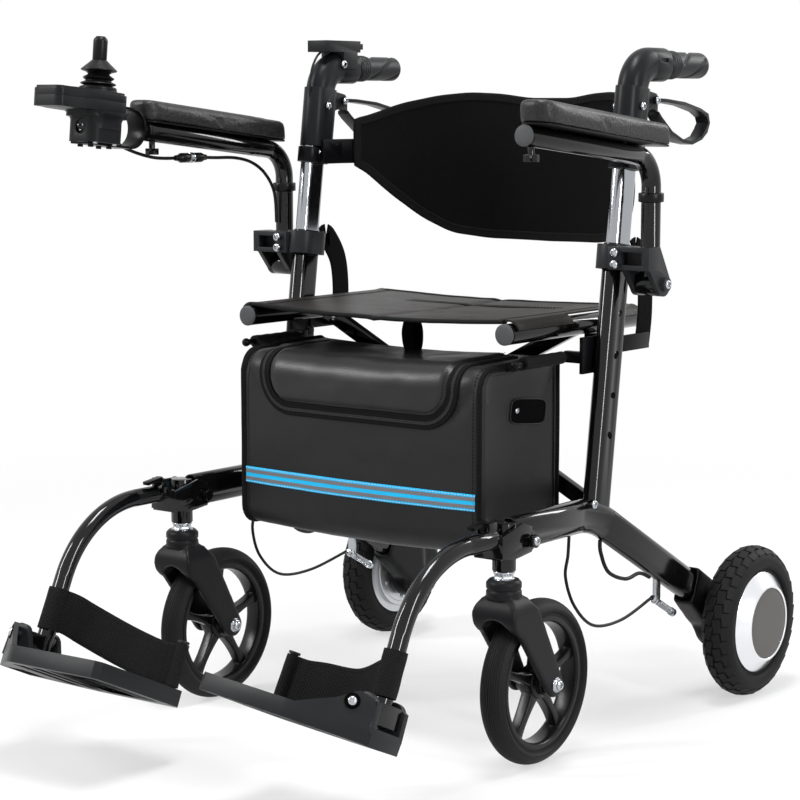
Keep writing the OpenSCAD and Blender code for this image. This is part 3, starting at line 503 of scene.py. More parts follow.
@dataclass(frozen=True)
class Finish:
    """One surface finish of the chair, as a material made once and used on every piece that has it."""

    name: str
    colour: str
    roughness: float
    metallic: float = 0.0
    specular: float = 0.5
    sheen: float = 0.0
    texture: Texture = Texture.GRAIN
    scale: float = 1100.0
    patch: float = 14.0
    depth: float = 0.12
    tone: float = 0.18
    dust: float = 0.0
    wear: float = 0.0

    def relief(self, bench: Bench) -> tuple[Socket, Socket]:
        """The height socket, and the socket of tone with painted relief shade where the texture is pebbled or woven, of
        this finish's texture group.

        Args:
            bench: the material's bench.

        Returns:
            The height socket and the socket of tone with painted relief shade.
        """
        name, keys, fill = self.texture.value
        made = bench.group(name, dict(zip(keys, (self.scale, self.patch))), fill)
        return made["Height"], made["Tone"]

    def material(self) -> bpy.types.Material:
        """The finish as a Blender material.

        Returns:
            The material, made at the first call.
        """
        title = f"{self.name}_finish"
        known = bpy.data.materials.get(title)
        if known:
            return known
        made = bpy.data.materials.new(title)
        bench = Bench.on(made)
        base = linear(self.colour)
        height, tone = self.relief(bench)
        # For pebbled and woven finishes the tone holds painted light and shade from the relief; for the rest it varies
        # at random.
        colour = bench.mix(tone, scaled(base, 1 - self.tone), scaled(base, 1 + self.tone))
        rubbed, dusty = scaled(base, 2.6), linear("#8f8c88")
        for name, amount, fill, over in (("edge_wear", self.wear, fill_wear, rubbed),
                                         ("settled_dust", self.dust, fill_dust, dusty)):
            if amount:
                colour = bench.mix(bench.group(name, {"Amount": amount}, fill)["Mask"], colour, over)
        smooth, rough = max(0.03, self.roughness - GLOSS_SWING), min(1.0, self.roughness + GLOSS_SWING)
        bump = bench.add("ShaderNodeBump", {"Strength": self.depth, "Distance": BUMP_REACH, "Height": height})
        shader = bench.add("ShaderNodeBsdfPrincipled", {
            "Base Color": colour, "Roughness": bench.span(tone, smooth, rough), "Metallic": self.metallic,
            "Specular IOR Level": self.specular, "Sheen Weight": self.sheen, "Sheen Roughness": 0.5,
            "Normal": bump.outputs[0]})
        bench.add("ShaderNodeOutputMaterial", {0: shader.outputs[0]})
        return made


@dataclass(frozen=True)
class TurnedFinish(Finish):
    """Metal turned on a lathe, with fine rings about the rear wheel's axle."""

    centre: Flat = (0.376, 0.1)

    def relief(self, bench: Bench) -> tuple[Socket, Socket]:
        """Fine rings about the axle.

        Args:
            bench: the material's bench.

        Returns:
            The height socket and the tone socket.
        """
        spot = bench.coords()
        shift = (0.0, -self.centre[0], -self.centre[1])
        moved = bench.add("ShaderNodeMapping", {0: spot, 1: shift}).outputs[0]
        flat = bench.add("ShaderNodeVectorMath", {0: moved, 1: (0.0, 1.0, 1.0)},
                         operation="MULTIPLY").outputs[0]
        reach = bench.add("ShaderNodeVectorMath", {0: flat}, operation="LENGTH").outputs["Value"]
        run = bench.math("MULTIPLY", reach, self.scale)
        rings = bench.add("ShaderNodeTexNoise", {"W": run, "Scale": 1.0, "Detail": 4.0},
                          noise_dimensions="1D").outputs[0]
        halves = [bench.math("MULTIPLY", value, 0.5) for value in (rings, bench.noise(spot, self.patch, 4.0))]
        return rings, bench.math("ADD", *halves)


class Finishes:
    """Every finish on the chair."""

    GLOSS_BLACK = Finish("gloss_black_coat", "#070708", 0.1, specular=0.34, scale=700, depth=0.03,
                         tone=0.1, wear=0.08)
    SATIN_BLACK = Finish("satin_black_steel", "#08080a", 0.3, specular=0.1, scale=1200, depth=0.04,
                         wear=0.06)
    CAST_BLACK = Finish("cast_black_bracket", "#0a0a0b", 0.3, specular=0.12, scale=520, depth=0.08,
                        wear=0.06)
    CHARCOAL = Finish("charcoal_plastic", "#212224", 0.4, specular=0.17, scale=1500, depth=0.05, wear=0.05)
    HEAD_GREY = Finish("handle_head_plastic", "#161719", 0.36, specular=0.12, scale=1500, depth=0.06,
                       wear=0.05)
    LEVER_GREY = Finish("lever_plastic", "#191a1c", 0.34, specular=0.14, scale=1500, depth=0.06, wear=0.08)
    FORK_BLACK = Finish("fork_plastic", "#161618", 0.42, specular=0.12, scale=1500, depth=0.08, wear=0.06)
    BLACK_PLASTIC = Finish("black_plastic", "#0d0d0e", 0.34, specular=0.16, scale=1500, depth=0.05,
                           wear=0.05)
    RIM_BLACK = Finish("rim_plastic", "#0d0d0e", 0.26, specular=0.2, scale=1500, depth=0.1, wear=0.12,
                       dust=0.01)
    CASE = Finish("controller_case", "#111214", 0.38, specular=0.17, scale=1700, depth=0.08, wear=0.06)
    PLATE = Finish("foot_plate_plastic", "#1d1e20", 0.38, specular=0.15, scale=900, depth=0.22, wear=0.5,
                   dust=0.03)
    CHROME = Finish("chrome_tube", "#a3a6aa", 0.15, metallic=1.0, scale=1800, depth=0.03, tone=0.05)
    PLATED = Finish("plated_steel", "#b0b3b7", 0.24, metallic=1.0, scale=1500, depth=0.06, tone=0.1)
    ALUMINIUM = TurnedFinish("hub_aluminium", "#e9eaed", 0.2, metallic=1.0, scale=2600, depth=0.08,
                             tone=0.08)
    MOTOR_SILVER = TurnedFinish("motor_silver", "#c9cbce", 0.36, metallic=0.85, scale=2200, depth=0.06,
                                tone=0.08)
    HUB_GREY = TurnedFinish("hub_disc_grey", "#585654", 0.5, specular=0.2, scale=1500, depth=0.08,
                            tone=0.06, dust=0.01)
    FRONT_RUBBER = Finish("front_tyre_rubber", "#161617", 0.55, specular=0.14, scale=800, depth=0.2,
                          dust=0.02)
    REAR_RUBBER = Finish("rear_tyre_rubber", "#151516", 0.6, specular=0.14, scale=700, depth=0.25,
                         dust=0.02)
    SOFT_RUBBER = Finish("soft_rubber", "#1d1e20", 0.42, specular=0.17, scale=900, depth=0.12)
    BELLOWS = Finish("bellows_rubber", "#0b0b0c", 0.38, specular=0.17, scale=1200, depth=0.1)
    WEBBING = Finish("strap_webbing", "#080809", 0.85, specular=0.05, texture=Texture.WEAVE, scale=560,
                     patch=420, depth=0.3, tone=0.5)
    HEEL_WEB = Finish("heel_webbing", "#131314", 0.9, specular=0.14, texture=Texture.WEAVE, scale=420,
                      patch=420, depth=0.9, tone=0.75)
    BACK_CLOTH = Finish("back_cloth", "#0b0b0c", 0.9, specular=0.082, texture=Texture.WEAVE, scale=800,
                        patch=800, depth=0.4, tone=0.35)
    BACK_BINDING = Finish("back_binding", "#0d0d0e", 0.82, specular=0.123, texture=Texture.WEAVE,
                          scale=420, patch=700, depth=0.7, tone=0.5)
    SEAT_CLOTH = Finish("seat_cloth", "#120f0d", 0.4, specular=0.22, texture=Texture.WEAVE, scale=900,
                        patch=900, depth=0.2, tone=0.25, dust=0.01)
    SEAT_BINDING = Finish("seat_binding", "#0a0a0a", 0.55, specular=0.12, texture=Texture.WEAVE, scale=520,
                          patch=700, depth=0.5, tone=0.35)
    BAG_SKIN = Finish("bag_skin", "#1b1b1c", 0.42, specular=0.22, texture=Texture.PEBBLE, scale=620,
                      patch=7, depth=0.2, tone=0.2, dust=0.01)
    BAG_LID = Finish("bag_lid_skin", "#1d1d1e", 0.36, specular=0.28, texture=Texture.PEBBLE, scale=620,
                     patch=9, depth=0.2, tone=0.2, dust=0.01)
    BAG_CLOTH = Finish("bag_cloth", "#0e0e0f", 0.8, specular=0.12, texture=Texture.WEAVE, scale=700,
                       patch=700, depth=0.5, tone=0.4)
    BINDING = Finish("ribbed_binding", "#080809", 0.75, specular=0.12, texture=Texture.WEAVE, scale=300,
                     patch=520, depth=0.8, tone=0.5)
    ZIP = Finish("zip_teeth", "#121213", 0.5, specular=0.25, texture=Texture.WEAVE, scale=240, patch=600,
                 depth=1.0, tone=0.4)
    CYAN = Finish("cyan_tape", "#1fb8f0", 0.5, specular=0.2, texture=Texture.WEAVE, scale=700, patch=700,
                  depth=0.3, tone=0.15)
    TAPE_GREY = Finish("reflective_tape", "#6d6e71", 0.4, texture=Texture.PEBBLE, scale=900, depth=0.2,
                       tone=0.15)
    WHITE_THREAD = Finish("white_thread", "#d8e4ea", 0.7, specular=0.2, scale=2500, depth=0.2)
    DARK_THREAD = Finish("dark_thread", "#060607", 0.7, specular=0.1, scale=2500, depth=0.2)
    SEAT_THREAD = Finish("seat_thread", "#0b0a09", 0.7, specular=0.1, scale=2500, depth=0.2)
    STRAP_THREAD = Finish("strap_thread", "#1c1c1e", 0.75, specular=0.12, scale=2500, depth=0.2)
    # Its strong tone paints the pebbles light and the creases dark: painted light and shade.
    PAD_SKIN = Finish("pad_skin", "#191919", 0.44, specular=0.32, texture=Texture.PEBBLE, scale=300,
                      patch=18, depth=0.6, tone=0.9)
    SLEEVE = Finish("cable_sleeve", "#0c0c0d", 0.4, specular=0.18, scale=1400, depth=0.08)
    CAP_GREY = Finish("end_cap_grey", "#48494b", 0.6, specular=0.2, scale=1200, depth=0.2, dust=0.02)
    # Painted shade: a near-black finish for flat discs and thin sheets laid where holes, recesses and slits would show
    # shade inside.
    HOLLOW = Finish("dark_hollow", "#040404", 0.9, specular=0.04, scale=900, depth=0.1)


def linked(name: str, data: bpy.types.ID) -> Piece:
    """Puts a new object into the scene.

    Args:
        name: the object's name.
        data: its mesh, lamp or camera.

    Returns:
        The new object.
    """
    obj = bpy.data.objects.new(name, data)
    bpy.context.scene.collection.objects.link(obj)
    return obj


def object_from(name: str, bm: bmesh.types.BMesh) -> Piece:
    """Makes a linked object out of a finished bmesh.

    Args:
        name: the piece's name.
        bm: its mesh, which is freed.

    Returns:
        The new object.
    """
    mesh = bpy.data.meshes.new(name)
    bm.to_mesh(mesh)
    bm.free()
    return linked(name, mesh)


def soften(obj: Piece, angle: float = SHARP) -> Piece:
    """Shades a piece smooth.

    Args:
        obj: the piece.
        angle: edges past this angle stay sharp.

    Returns:
        The same object.
    """
    obj.data.polygons.foreach_set("use_smooth", [True] * len(obj.data.polygons))
    obj.data.set_sharp_from_angle(angle=radians(angle))
    return obj


def settle(obj: Piece) -> Piece:
    """Turns a piece and its modifiers into one plain mesh.

    Args:
        obj: the piece.

    Returns:
        The same object, with no modifier left.
    """
    graph = bpy.context.evaluated_depsgraph_get()
    mesh = bpy.data.meshes.new_from_object(obj.evaluated_get(graph), preserve_all_data_layers=True,
                                           depsgraph=graph)
    old = obj.data
    obj.modifiers.clear()
    obj.data = mesh
    if not old.users:
        bpy.data.meshes.remove(old)
    mesh.name = obj.name
    return obj


def loft(name: str, rings: Sequence[Sequence[Vector]], wrap: bool = True, caps: bool = False,
         closed: bool = False) -> Piece:
    """Skins rows of points, with a map in metres along and across.

    Args:
        name: the piece's name.
        rings: rows of as many points each.
        wrap: whether each row closes on itself.
        caps: whether the first and last rows are filled.
        closed: whether the last row joins the first.

    Returns:
        The skinned object, its faces pointing outwards.
    """
    bm = bmesh.new()
    layer = bm.loops.layers.uv.new("UVMap")
    rows = [[bm.verts.new(p) for p in ring] for ring in rings]
    count = len(rows[0])
    steps = len(rows) if closed else len(rows) - 1
    spread = [0.0]
    for i in range(steps):
        a, b = rings[i], rings[(i + 1) % len(rings)]
        spread.append(spread[-1] + sum((b[j] - a[j]).length for j in range(count)) / count)
    reach = []
    for ring in rings:
        run = [0.0]
        for j in range(count):
            run.append(run[-1] + (ring[(j + 1) % count] - ring[j]).length)
        reach.append(run)
    for i in range(steps):
        i2 = (i + 1) % len(rows)
        for j in range(count if wrap else count - 1):
            k = (j + 1) % count
            corners = [(rows[i][j], reach[i][j], spread[i]), (rows[i][k], reach[i][j + 1], spread[i]),
                       (rows[i2][k], reach[i2][j + 1], spread[i + 1]),
                       (rows[i2][j], reach[i2][j], spread[i + 1])]
            face = bm.faces.new([c[0] for c in corners])
            for loop, corner in zip(face.loops, corners):
                loop[layer].uv = (corner[1], corner[2])
    if caps:
        bm.faces.new(rows[0])
        bm.faces.new(rows[-1])
    bmesh.ops.remove_doubles(bm, verts=bm.verts, dist=1e-6)
    bmesh.ops.recalc_face_normals(bm, faces=bm.faces)
    return object_from(name, bm)


def shaped(obj: Piece, kind: str, **traits: object) -> Piece:
    """Runs one modifier on a piece and keeps what it makes.

    Args:
        obj: the piece.
        kind: the modifier's type.
        traits: its settings.

    Returns:
        The same object, a plain mesh.
    """
    rule = obj.modifiers.new(kind.lower(), kind)
    for key, value in traits.items():
        setattr(rule, key, value)
    return settle(obj)


def lathe(name: str, profile: Sequence[Flat], origin: Vector, axis: Vector, steps: int = 48,
          angle: float = 36.0) -> Piece:
    """A form turned about an axle.

    Args:
        name: the piece's name.
        profile: radius and distance along the axle, both in millimetres.
        origin: the axle's point at distance 0.
        axis: the way that distances run.
        steps: points round the axle.
        angle: edges past this angle stay sharp.

    Returns:
        The turned object.
    """
    z = axis.normalized()
    x = z.cross(UP if abs(z.z) < 0.9 else REAR).normalized()
    y = z.cross(x)
    rings = []
    for a in turns(steps):
        out = x * cos(a) + y * sin(a)
        rings.append([origin + (z * d + out * r) / 1000 for r, d in profile])
    return soften(loft(name, rings, wrap=False, closed=True), angle)


def smooth_path(points: Sequence[Vector], steps: int) -> list[Vector]:
    """The smooth curve through some points.

    Args:
        points: the points it passes.
        steps: how many pieces each span is cut into.

    Returns:
        The curve's points.
    """
    made = []
    last = len(points) - 1
    for i in range(last):
        a, b = points[max(i - 1, 0)], points[i]
        c, d = points[i + 1], points[min(i + 2, last)]
        for k in range(steps):
            t = k / steps
            made.append(0.5 * (2 * b + (c - a) * t + (2 * a - 5 * b + 4 * c - d) * t * t
                               + (3 * b - a - 3 * c + d) * t ** 3))
    made.append(points[last].copy())
    return made


def round_section(radius: float, sides: int = 14) -> list[Flat]:
    """A round section in metres."""
    return [(radius * cos(a), radius * sin(a)) for a in turns(sides)]


def tape_section(width: float, thick: float, corner: int = 3) -> list[Flat]:
    """A flat section with round edges, in metres.

    Args:
        width: the tape's width.
        thick: its thickness.
        corner: points on each round edge past the first.

    Returns:
        The section's points.
    """
    r = thick / 2
    edge = spaced(-pi / 2, pi / 2, corner + 1)
    right = [(width / 2 - r + r * cos(a), r * sin(a)) for a in edge]
    flat = [(width / 2 - r - (width - 2 * r) * k / 6, r) for k in range(1, 6)]
    left = [(-x, -y) for x, y in right]
    back = [(-x, -y) for x, y in flat]
    return right + flat + left + back


def sweep(name: str, path: Sequence[Vector], section: Sequence[Flat], across: Vector | Sequence[Vector],
          closed: bool = False) -> Piece:
    """Draws a section along a path.

    Args:
        name: the piece's name.
        path: the points it follows.
        section: the section, its first axis lying along across.
        across: one direction for the section's width, or one for each point.
        closed: whether the path joins its start.

    Returns:
        The swept object.
    """
    rings = []
    last = len(path) - 1
    side = None
    for i, p in enumerate(path):
        before = path[i - 1] if closed else path[max(i - 1, 0)]
        after = path[(i + 1) % len(path)] if closed else path[min(i + 1, last)]
        t = (after - before).normalized()
        want = across if isinstance(across, Vector) else across[i]
        if isinstance(across, Vector) and side is not None and abs(want.normalized().dot(t)) > 0.97:
            want = side
        side = (want - t * t.dot(want)).normalized()
        lift = t.cross(side)
        rings.append([p + side * u + lift * v for u, v in section])
    return soften(loft(name, rings, wrap=True, caps=not closed, closed=closed), 50)


def machined(node: str, width: float, segments: int = 2) -> Piece:
    """A copy of a CAD node with its sharp edges rounded.

    Args:
        node: the node's name.
        width: the rounding's width in millimetres.
        segments: faces across the rounding.

    Returns:
        The new object, a plain mesh.
    """
    bm = bmesh.new()
    bm.from_mesh(FRAME["nodes"][node].data)
    bmesh.ops.remove_doubles(bm, verts=bm.verts, dist=2e-5)
    bmesh.ops.dissolve_degenerate(bm, edges=bm.edges, dist=1e-5)
    bmesh.ops.dissolve_limit(bm, angle_limit=radians(0.8), verts=bm.verts, edges=bm.edges)
    obj = shaped(object_from(f"{node}_body", bm), "BEVEL", width=width / 1000, segments=segments,
                 limit_method="ANGLE", angle_limit=radians(SHARP), miter_outer="MITER_ARC")
    return soften(obj, 40)


def outward(point: Vector) -> Vector:
    """A point in the source's millimetres, with x outwards."""
    return Vector((abs(point.x) * 1000, point.y * 1000 - Y_MID, point.z * 1000))


def moulded(obj: Piece, voxel: float, passes: int, test: Callable[[Vector], bool]) -> Piece:
    """Runs the corners of a copy together, as a mould's do.

    Args:
        obj: the copy.
        voxel: the size of the new faces in millimetres.
        passes: how many times its points are evened out.
        test: tells from a point, in the source's millimetres with x outwards, whether it is evened out.

    Returns:
        The same object.
    """
    shaped(obj, "REMESH", mode="VOXEL", voxel_size=voxel / 1000)
    bm = bmesh.new()
    bm.from_mesh(obj.data)
    soft = [v for v in bm.verts if test(outward(v.co))]
    for _ in range(passes):
        bmesh.ops.smooth_vert(bm, verts=soft, factor=0.5, use_axis_x=True, use_axis_y=True, use_axis_z=True)
    bm.to_mesh(obj.data)
    bm.free()
    return soften(obj, 60)


def dress(obj: Piece, finish: Finish) -> None:
    """Gives a whole piece one finish."""
    obj.data.materials.clear()
    obj.data.materials.append(finish.material())


def place(obj: Piece, body: str, finish: Finish | None, slot: str | None = None,
          stands_for: Sequence[str] = ()) -> Piece:
    """Gives a piece its finish and its body.

    Args:
        obj: the piece.
        body: the CAD body it moves with.
        finish: its finish, or None where its faces have theirs.
        slot: the record's material slot.
        stands_for: the CAD nodes that it replaces.

    Returns:
        The same object.
    """
    if finish is not None:
        dress(obj, finish)
    if stands_for:
        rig.replaces(obj, *stands_for)
    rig.ride(obj, body)
    if slot:
        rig.slot(obj, slot)
    LOG.info("%s rides on %s", obj.name, body)
    return obj


def bend(obj: Piece, finish: Finish, slot: str, bodies: tuple[str, str], start: Vector, end: Vector,
         stands_for: Sequence[str] = ()) -> Piece:
    """Gives a piece its finish and bends it between two bodies.

    Args:
        obj: the piece, which rides on nothing else.
        finish: its finish.
        slot: the record's material slot.
        bodies: the CAD bodies that its two ends move with.
        start: where the first body's share ends.
        end: where the second body's share starts.
        stands_for: the CAD nodes that it replaces.

    Returns:
        The same object.
    """
    dress(obj, finish)
    if stands_for:
        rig.replaces(obj, *stands_for)
    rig.slot(obj, slot)
    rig.blend(obj, *bodies, start=start, end=end)
    LOG.info("%s bends between %s and %s", obj.name, *bodies)
    return obj


def rounded(node: str, body: str, finish: Finish, slot: str, width: float, segments: int = 2) -> Piece:
    """Puts a rounded copy of a CAD node in that node's place."""
    return place(machined(node, width, segments), body, finish, slot, [node])


def cable(name: str, path: Sequence[Vector], radius: float, sides: int, body: str,
          stands_for: Sequence[str] = (), with_pieces: Sequence[Piece] = ()) -> None:
    """Draws a cable along its path.

    Args:
        name: the piece's name.
        path: the cable's route.
        radius: its radius in millimetres.
        sides: points round it.
        body: the CAD body it moves with.
        stands_for: the CAD nodes that it replaces.
        with_pieces: the pieces that move with it.
    """
    obj = sweep(name, path, round_section(radius / 1000, sides), OUT)
    place(obj, body, Finishes.SLEEVE, "cable_sleeve", stands_for)
    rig.cord(obj, exit=path[0], length=length_of(path), diameter=radius / 500, far_end="object",
            stiffness="medium", lay="hanging", path=path, with_pieces=with_pieces)


def paint(obj: Piece, finish: Finish, test: Callable[[Vector], bool]) -> None:
    """Gives some of a piece's faces another finish.

    Args:
        obj: the piece.
        finish: the other finish.
        test: tells from a face's middle, in the source's millimetres with x outwards, whether it takes it.
    """
    index = len(obj.data.materials)
    obj.data.materials.append(finish.material())
    for face in obj.data.polygons:
        if test(outward(face.center)):
            face.material_index = index


class PointTool:
    """A geometry tree with named inputs that sets small shapes on the points of a guide."""

    def __init__(self, name: str, inputs: dict[str, str]) -> None:
        """Builds the tree once.

        Args:
            name: the tree's name.
            inputs: the kinds of its inputs, by name, apart from the guide and the finish.
        """
        self.tree = bpy.data.node_groups.new(name, "GeometryNodeTree")
        face = self.tree.interface
        face.new_socket("Guide", in_out="INPUT", socket_type="NodeSocketGeometry")
        self.keys = {}
        for key, kind in {**inputs, "Finish": "Material"}.items():
            self.keys[key] = face.new_socket(key, in_out="INPUT", socket_type=f"NodeSocket{kind}").identifier
        face.new_socket("Shapes", in_out="OUTPUT", socket_type="NodeSocketGeometry")
        bench = Bench(self.tree)
        given = bench.add("NodeGroupInput").outputs
        set_out = bench.add("GeometryNodeInstanceOnPoints", self.instances(bench, given))
        real = bench.add("GeometryNodeRealizeInstances", {0: set_out.outputs[0]})
        even = bench.add("GeometryNodeSetShadeSmooth", {0: real.outputs[0]})
        done = bench.add("GeometryNodeSetMaterial", {0: even.outputs[0], "Material": given["Finish"]})
        bench.add("NodeGroupOutput", {0: done.outputs[0]})

    def instances(self, bench: Bench, given: Outputs) -> Feeds:
        """What is set on which points, left to each tool."""
        raise NotImplementedError

    def run(self, mesh: bpy.types.Mesh, finish: Finish, **values: object) -> Piece:
        """Runs the tree on a guide.

        Args:
            mesh: the guide, with the piece's name.
            finish: the shapes' finish.
            values: the tree's other inputs.

        Returns:
            The shapes as one plain mesh.
        """
        obj = linked(mesh.name, mesh)
        rule = obj.modifiers.new("repeats", "NODES")
        rule.node_group = self.tree
        for key, value in {**values, "Finish": finish.material()}.items():
            rule[self.keys[key]] = value
        return settle(obj)


class Stitcher(PointTool):
    """A geometry tree that sews a row of stitches along a line."""

    def __init__(self) -> None:
        """Names the tree's inputs."""
        super().__init__("stitch_row", {"Pitch": "Float", "Length": "Float", "Thread": "Float"})

    def instances(self, bench: Bench, given: Outputs) -> Feeds:
        """Long balls along the line.

        Args:
            bench: the tree's bench.
            given: its inputs.

        Returns:
            The feeds of the node that sets the balls out.
        """
        curve = bench.add("GeometryNodeMeshToCurve", {0: given["Guide"]})
        even = bench.add("GeometryNodeResampleCurve", {"Curve": curve.outputs[0], "Length": given["Pitch"]},
                         mode="LENGTH")
        ball = bench.add("GeometryNodeMeshUVSphere", {"Segments": 6, "Rings": 4, "Radius": 0.5})
        along = bench.add("GeometryNodeInputTangent").outputs[0]
        turn = bench.add("FunctionNodeAlignRotationToVector", {"Vector": along}, axis="X")
        size = bench.add("ShaderNodeCombineXYZ", {0: given["Length"], 1: given["Thread"], 2: given["Thread"]})
        return {"Points": even.outputs[0], "Instance": ball.outputs[0], "Rotation": turn.outputs[0],
                "Scale": size.outputs[0]}

    def sew(self, name: str, lines: Sequence[Sequence[Vector]], finish: Finish, pitch: float, length: float,
            thread: float) -> Piece:
        """Sews stitches along lines.

        Args:
            name: the piece's name.
            lines: the lines' points.
            finish: the thread's finish.
            pitch: millimetres from stitch to stitch.
            length: a stitch's length in millimetres.
            thread: its thickness in millimetres.

        Returns:
            The stitches as one plain mesh.
        """
        points, edges = [], []
        for line in lines:
            start = len(points)
            points += [tuple(p) for p in line]
            edges += [(start + i, start + i + 1) for i in range(len(line) - 1)]
        mesh = bpy.data.meshes.new(name)
        mesh.from_pydata(points, edges, [])
        return self.run(mesh, finish, Pitch=pitch / 1000, Length=length / 1000, Thread=thread / 1000)


class Repeater(PointTool):
    """A geometry tree that sets one small shape on every point of a guide."""

    def __init__(self) -> None:
        """Names the tree's inputs."""
        super().__init__("set_on_points", {"Shape": "Object", "Size": "Float"})

    def instances(self, bench: Bench, given: Outputs) -> Feeds:
        """The shape, turned at each point as its two directions say.

        Args:
            bench: the tree's bench.
            given: its inputs.

        Returns:
            The feeds of the node that sets the shapes out.
        """
        shape = bench.add("GeometryNodeObjectInfo", {"Object": given["Shape"]})
        axis, ahead = [bench.add("GeometryNodeInputNamedAttribute", {"Name": name}, data_type="FLOAT_VECTOR")
                       for name in ("axis", "ahead")]
        upright = bench.add("FunctionNodeAlignRotationToVector", {"Vector": axis.outputs[0]}, axis="Z")
        turn = bench.add("FunctionNodeAlignRotationToVector",
                         {"Rotation": upright.outputs[0], "Vector": ahead.outputs[0]}, axis="X",
                         pivot_axis="Z")
        return {"Points": given["Guide"], "Instance": shape.outputs["Geometry"], "Rotation": turn.outputs[0],
                "Scale": given["Size"]}

    def set_out(self, name: str, spots: Sequence[tuple[Vector, Vector, Vector]], shape: Piece, finish: Finish,
                size: float = 1.0) -> Piece:
        """Sets a shape on spots.

        Args:
            name: the piece's name.
            spots: for each, its point, the way its top looks, and the way its front looks.
            shape: the shape's object, made about the origin with its top at +Z.
            finish: the shape's finish.
            size: its scale.

        Returns:
            The shapes as one plain mesh.
        """
        mesh = bpy.data.meshes.new(name)
        mesh.from_pydata([tuple(s[0]) for s in spots], [], [])
        for key, column in (("axis", 1), ("ahead", 2)):
            layer = mesh.attributes.new(key, "FLOAT_VECTOR", "POINT")
            layer.data.foreach_set("vector", [c for s in spots for c in s[column].normalized()])
        obj = self.run(mesh, finish, Shape=shape, Size=size)
        for key in ("axis", "ahead"):
            layer = obj.data.attributes.get(key)
            if layer:
                obj.data.attributes.remove(layer)
        return soften(obj, 40)


class Kit:
    """The tools, and the small shapes about the origin, that the sub-assemblies share."""

    def __init__(self) -> None:
        """Builds the trees and the small shapes."""
        self.stitcher = Stitcher()
        self.repeater = Repeater()
        self.screw = self.screw_head()
        self.block = self.tread_block()
        self.disc = self.eyelet()
        self.spoke = self.wheel_spoke()

    def screw_head(self) -> Piece:
        """A button head of 10 mm with a socket."""
        rows = [(5.0, 0.0), (5.0, 0.6), (4.7, 1.5), (3.9, 2.3), (2.7, 2.7), (2.5, 2.5), (2.5, 0.9),
                (0.0, 0.9)]
        return lathe("screw_shape", rows, Vector(), UP, 18)

    def tread_block(self) -> Piece:
        """A tread block of 18 by 10 by 3.4 mm with worn edges.

        Returns:
            The shape, not part of the chair.
        """
        bm = bmesh.new()
        bmesh.ops.create_cube(bm, size=1.0)
        for v in bm.verts:
            taper = 0.95 if v.co.z > 0 else 1.0
            v.co = Vector((v.co.x * 0.0181 * taper, v.co.y * 0.0102 * taper, v.co.z * 0.0034))
        bmesh.ops.bevel(bm, geom=bm.edges, offset=0.0006, segments=1, affect="EDGES")
        return object_from("block_shape", bm)

    def eyelet(self) -> Piece:
        """A flat disc of 10 mm that stands for a hole or recess, to be painted dark as its shade."""
        return lathe("eyelet_shape", [(5.0, -0.3), (5.0, 0.12), (4.6, 0.2), (0.0, 0.2)], Vector(), UP, 20)

    def wheel_spoke(self) -> Piece:
        """A slim spoke from 17 to 74 mm off the axle, flared at both ends.

        Returns:
            The shape, not part of the chair.
        """
        rings = []
        for t in spaced(0, 1, 14):
            deep, wide = 8.4 - t, 4.2 + 4.6 * (1 - t) ** 3 + 4.4 * t ** 6
            plan = [squarish(a, 0.35) for a in turns(24)]
            rings.append([Vector((x * deep, y * wide, 17 + 57 * t)) / 1000 for x, y in plan])
        return loft("spoke_shape", rings, caps=True)

    def screws(self, name: str, spots: Sequence[tuple[Vector, Vector]], body: str, size: float,
               painted_hole: bool = False) -> Piece:
        """Sets screw heads on a body, or flat dark discs of painted shade where hole openings are.

        Args:
            name: the piece's name.
            spots: each one's seat and the way it looks.
            body: the CAD body that they move with.
            size: their size against 10 mm.
            painted_hole: whether they are flat dark discs of painted shade for hole openings, not heads.

        Returns:
            The heads, or the discs of painted shade, as one object.
        """
        upright, lying = Vector((0.3, 0.2, 1.0)), Vector((1.0, 0.2, 0.0))
        full = [(p, d, upright if abs(d.z) < 0.9 else lying) for p, d in spots]
        # Holes are not cut: a flat disc with the near-black finish paints their shade.
        shape, finish, slot = ((self.disc, Finishes.HOLLOW, "black_plastic") if painted_hole
                               else (self.screw, Finishes.PLATED, "plated_steel"))
        return place(self.repeater.set_out(name, full, shape, finish, size), body, None, slot)

    def clear(self) -> None:
        """Takes the small shapes out of the scene."""
        for shape in (self.screw, self.block, self.disc, self.spoke):
            bpy.data.objects.remove(shape)


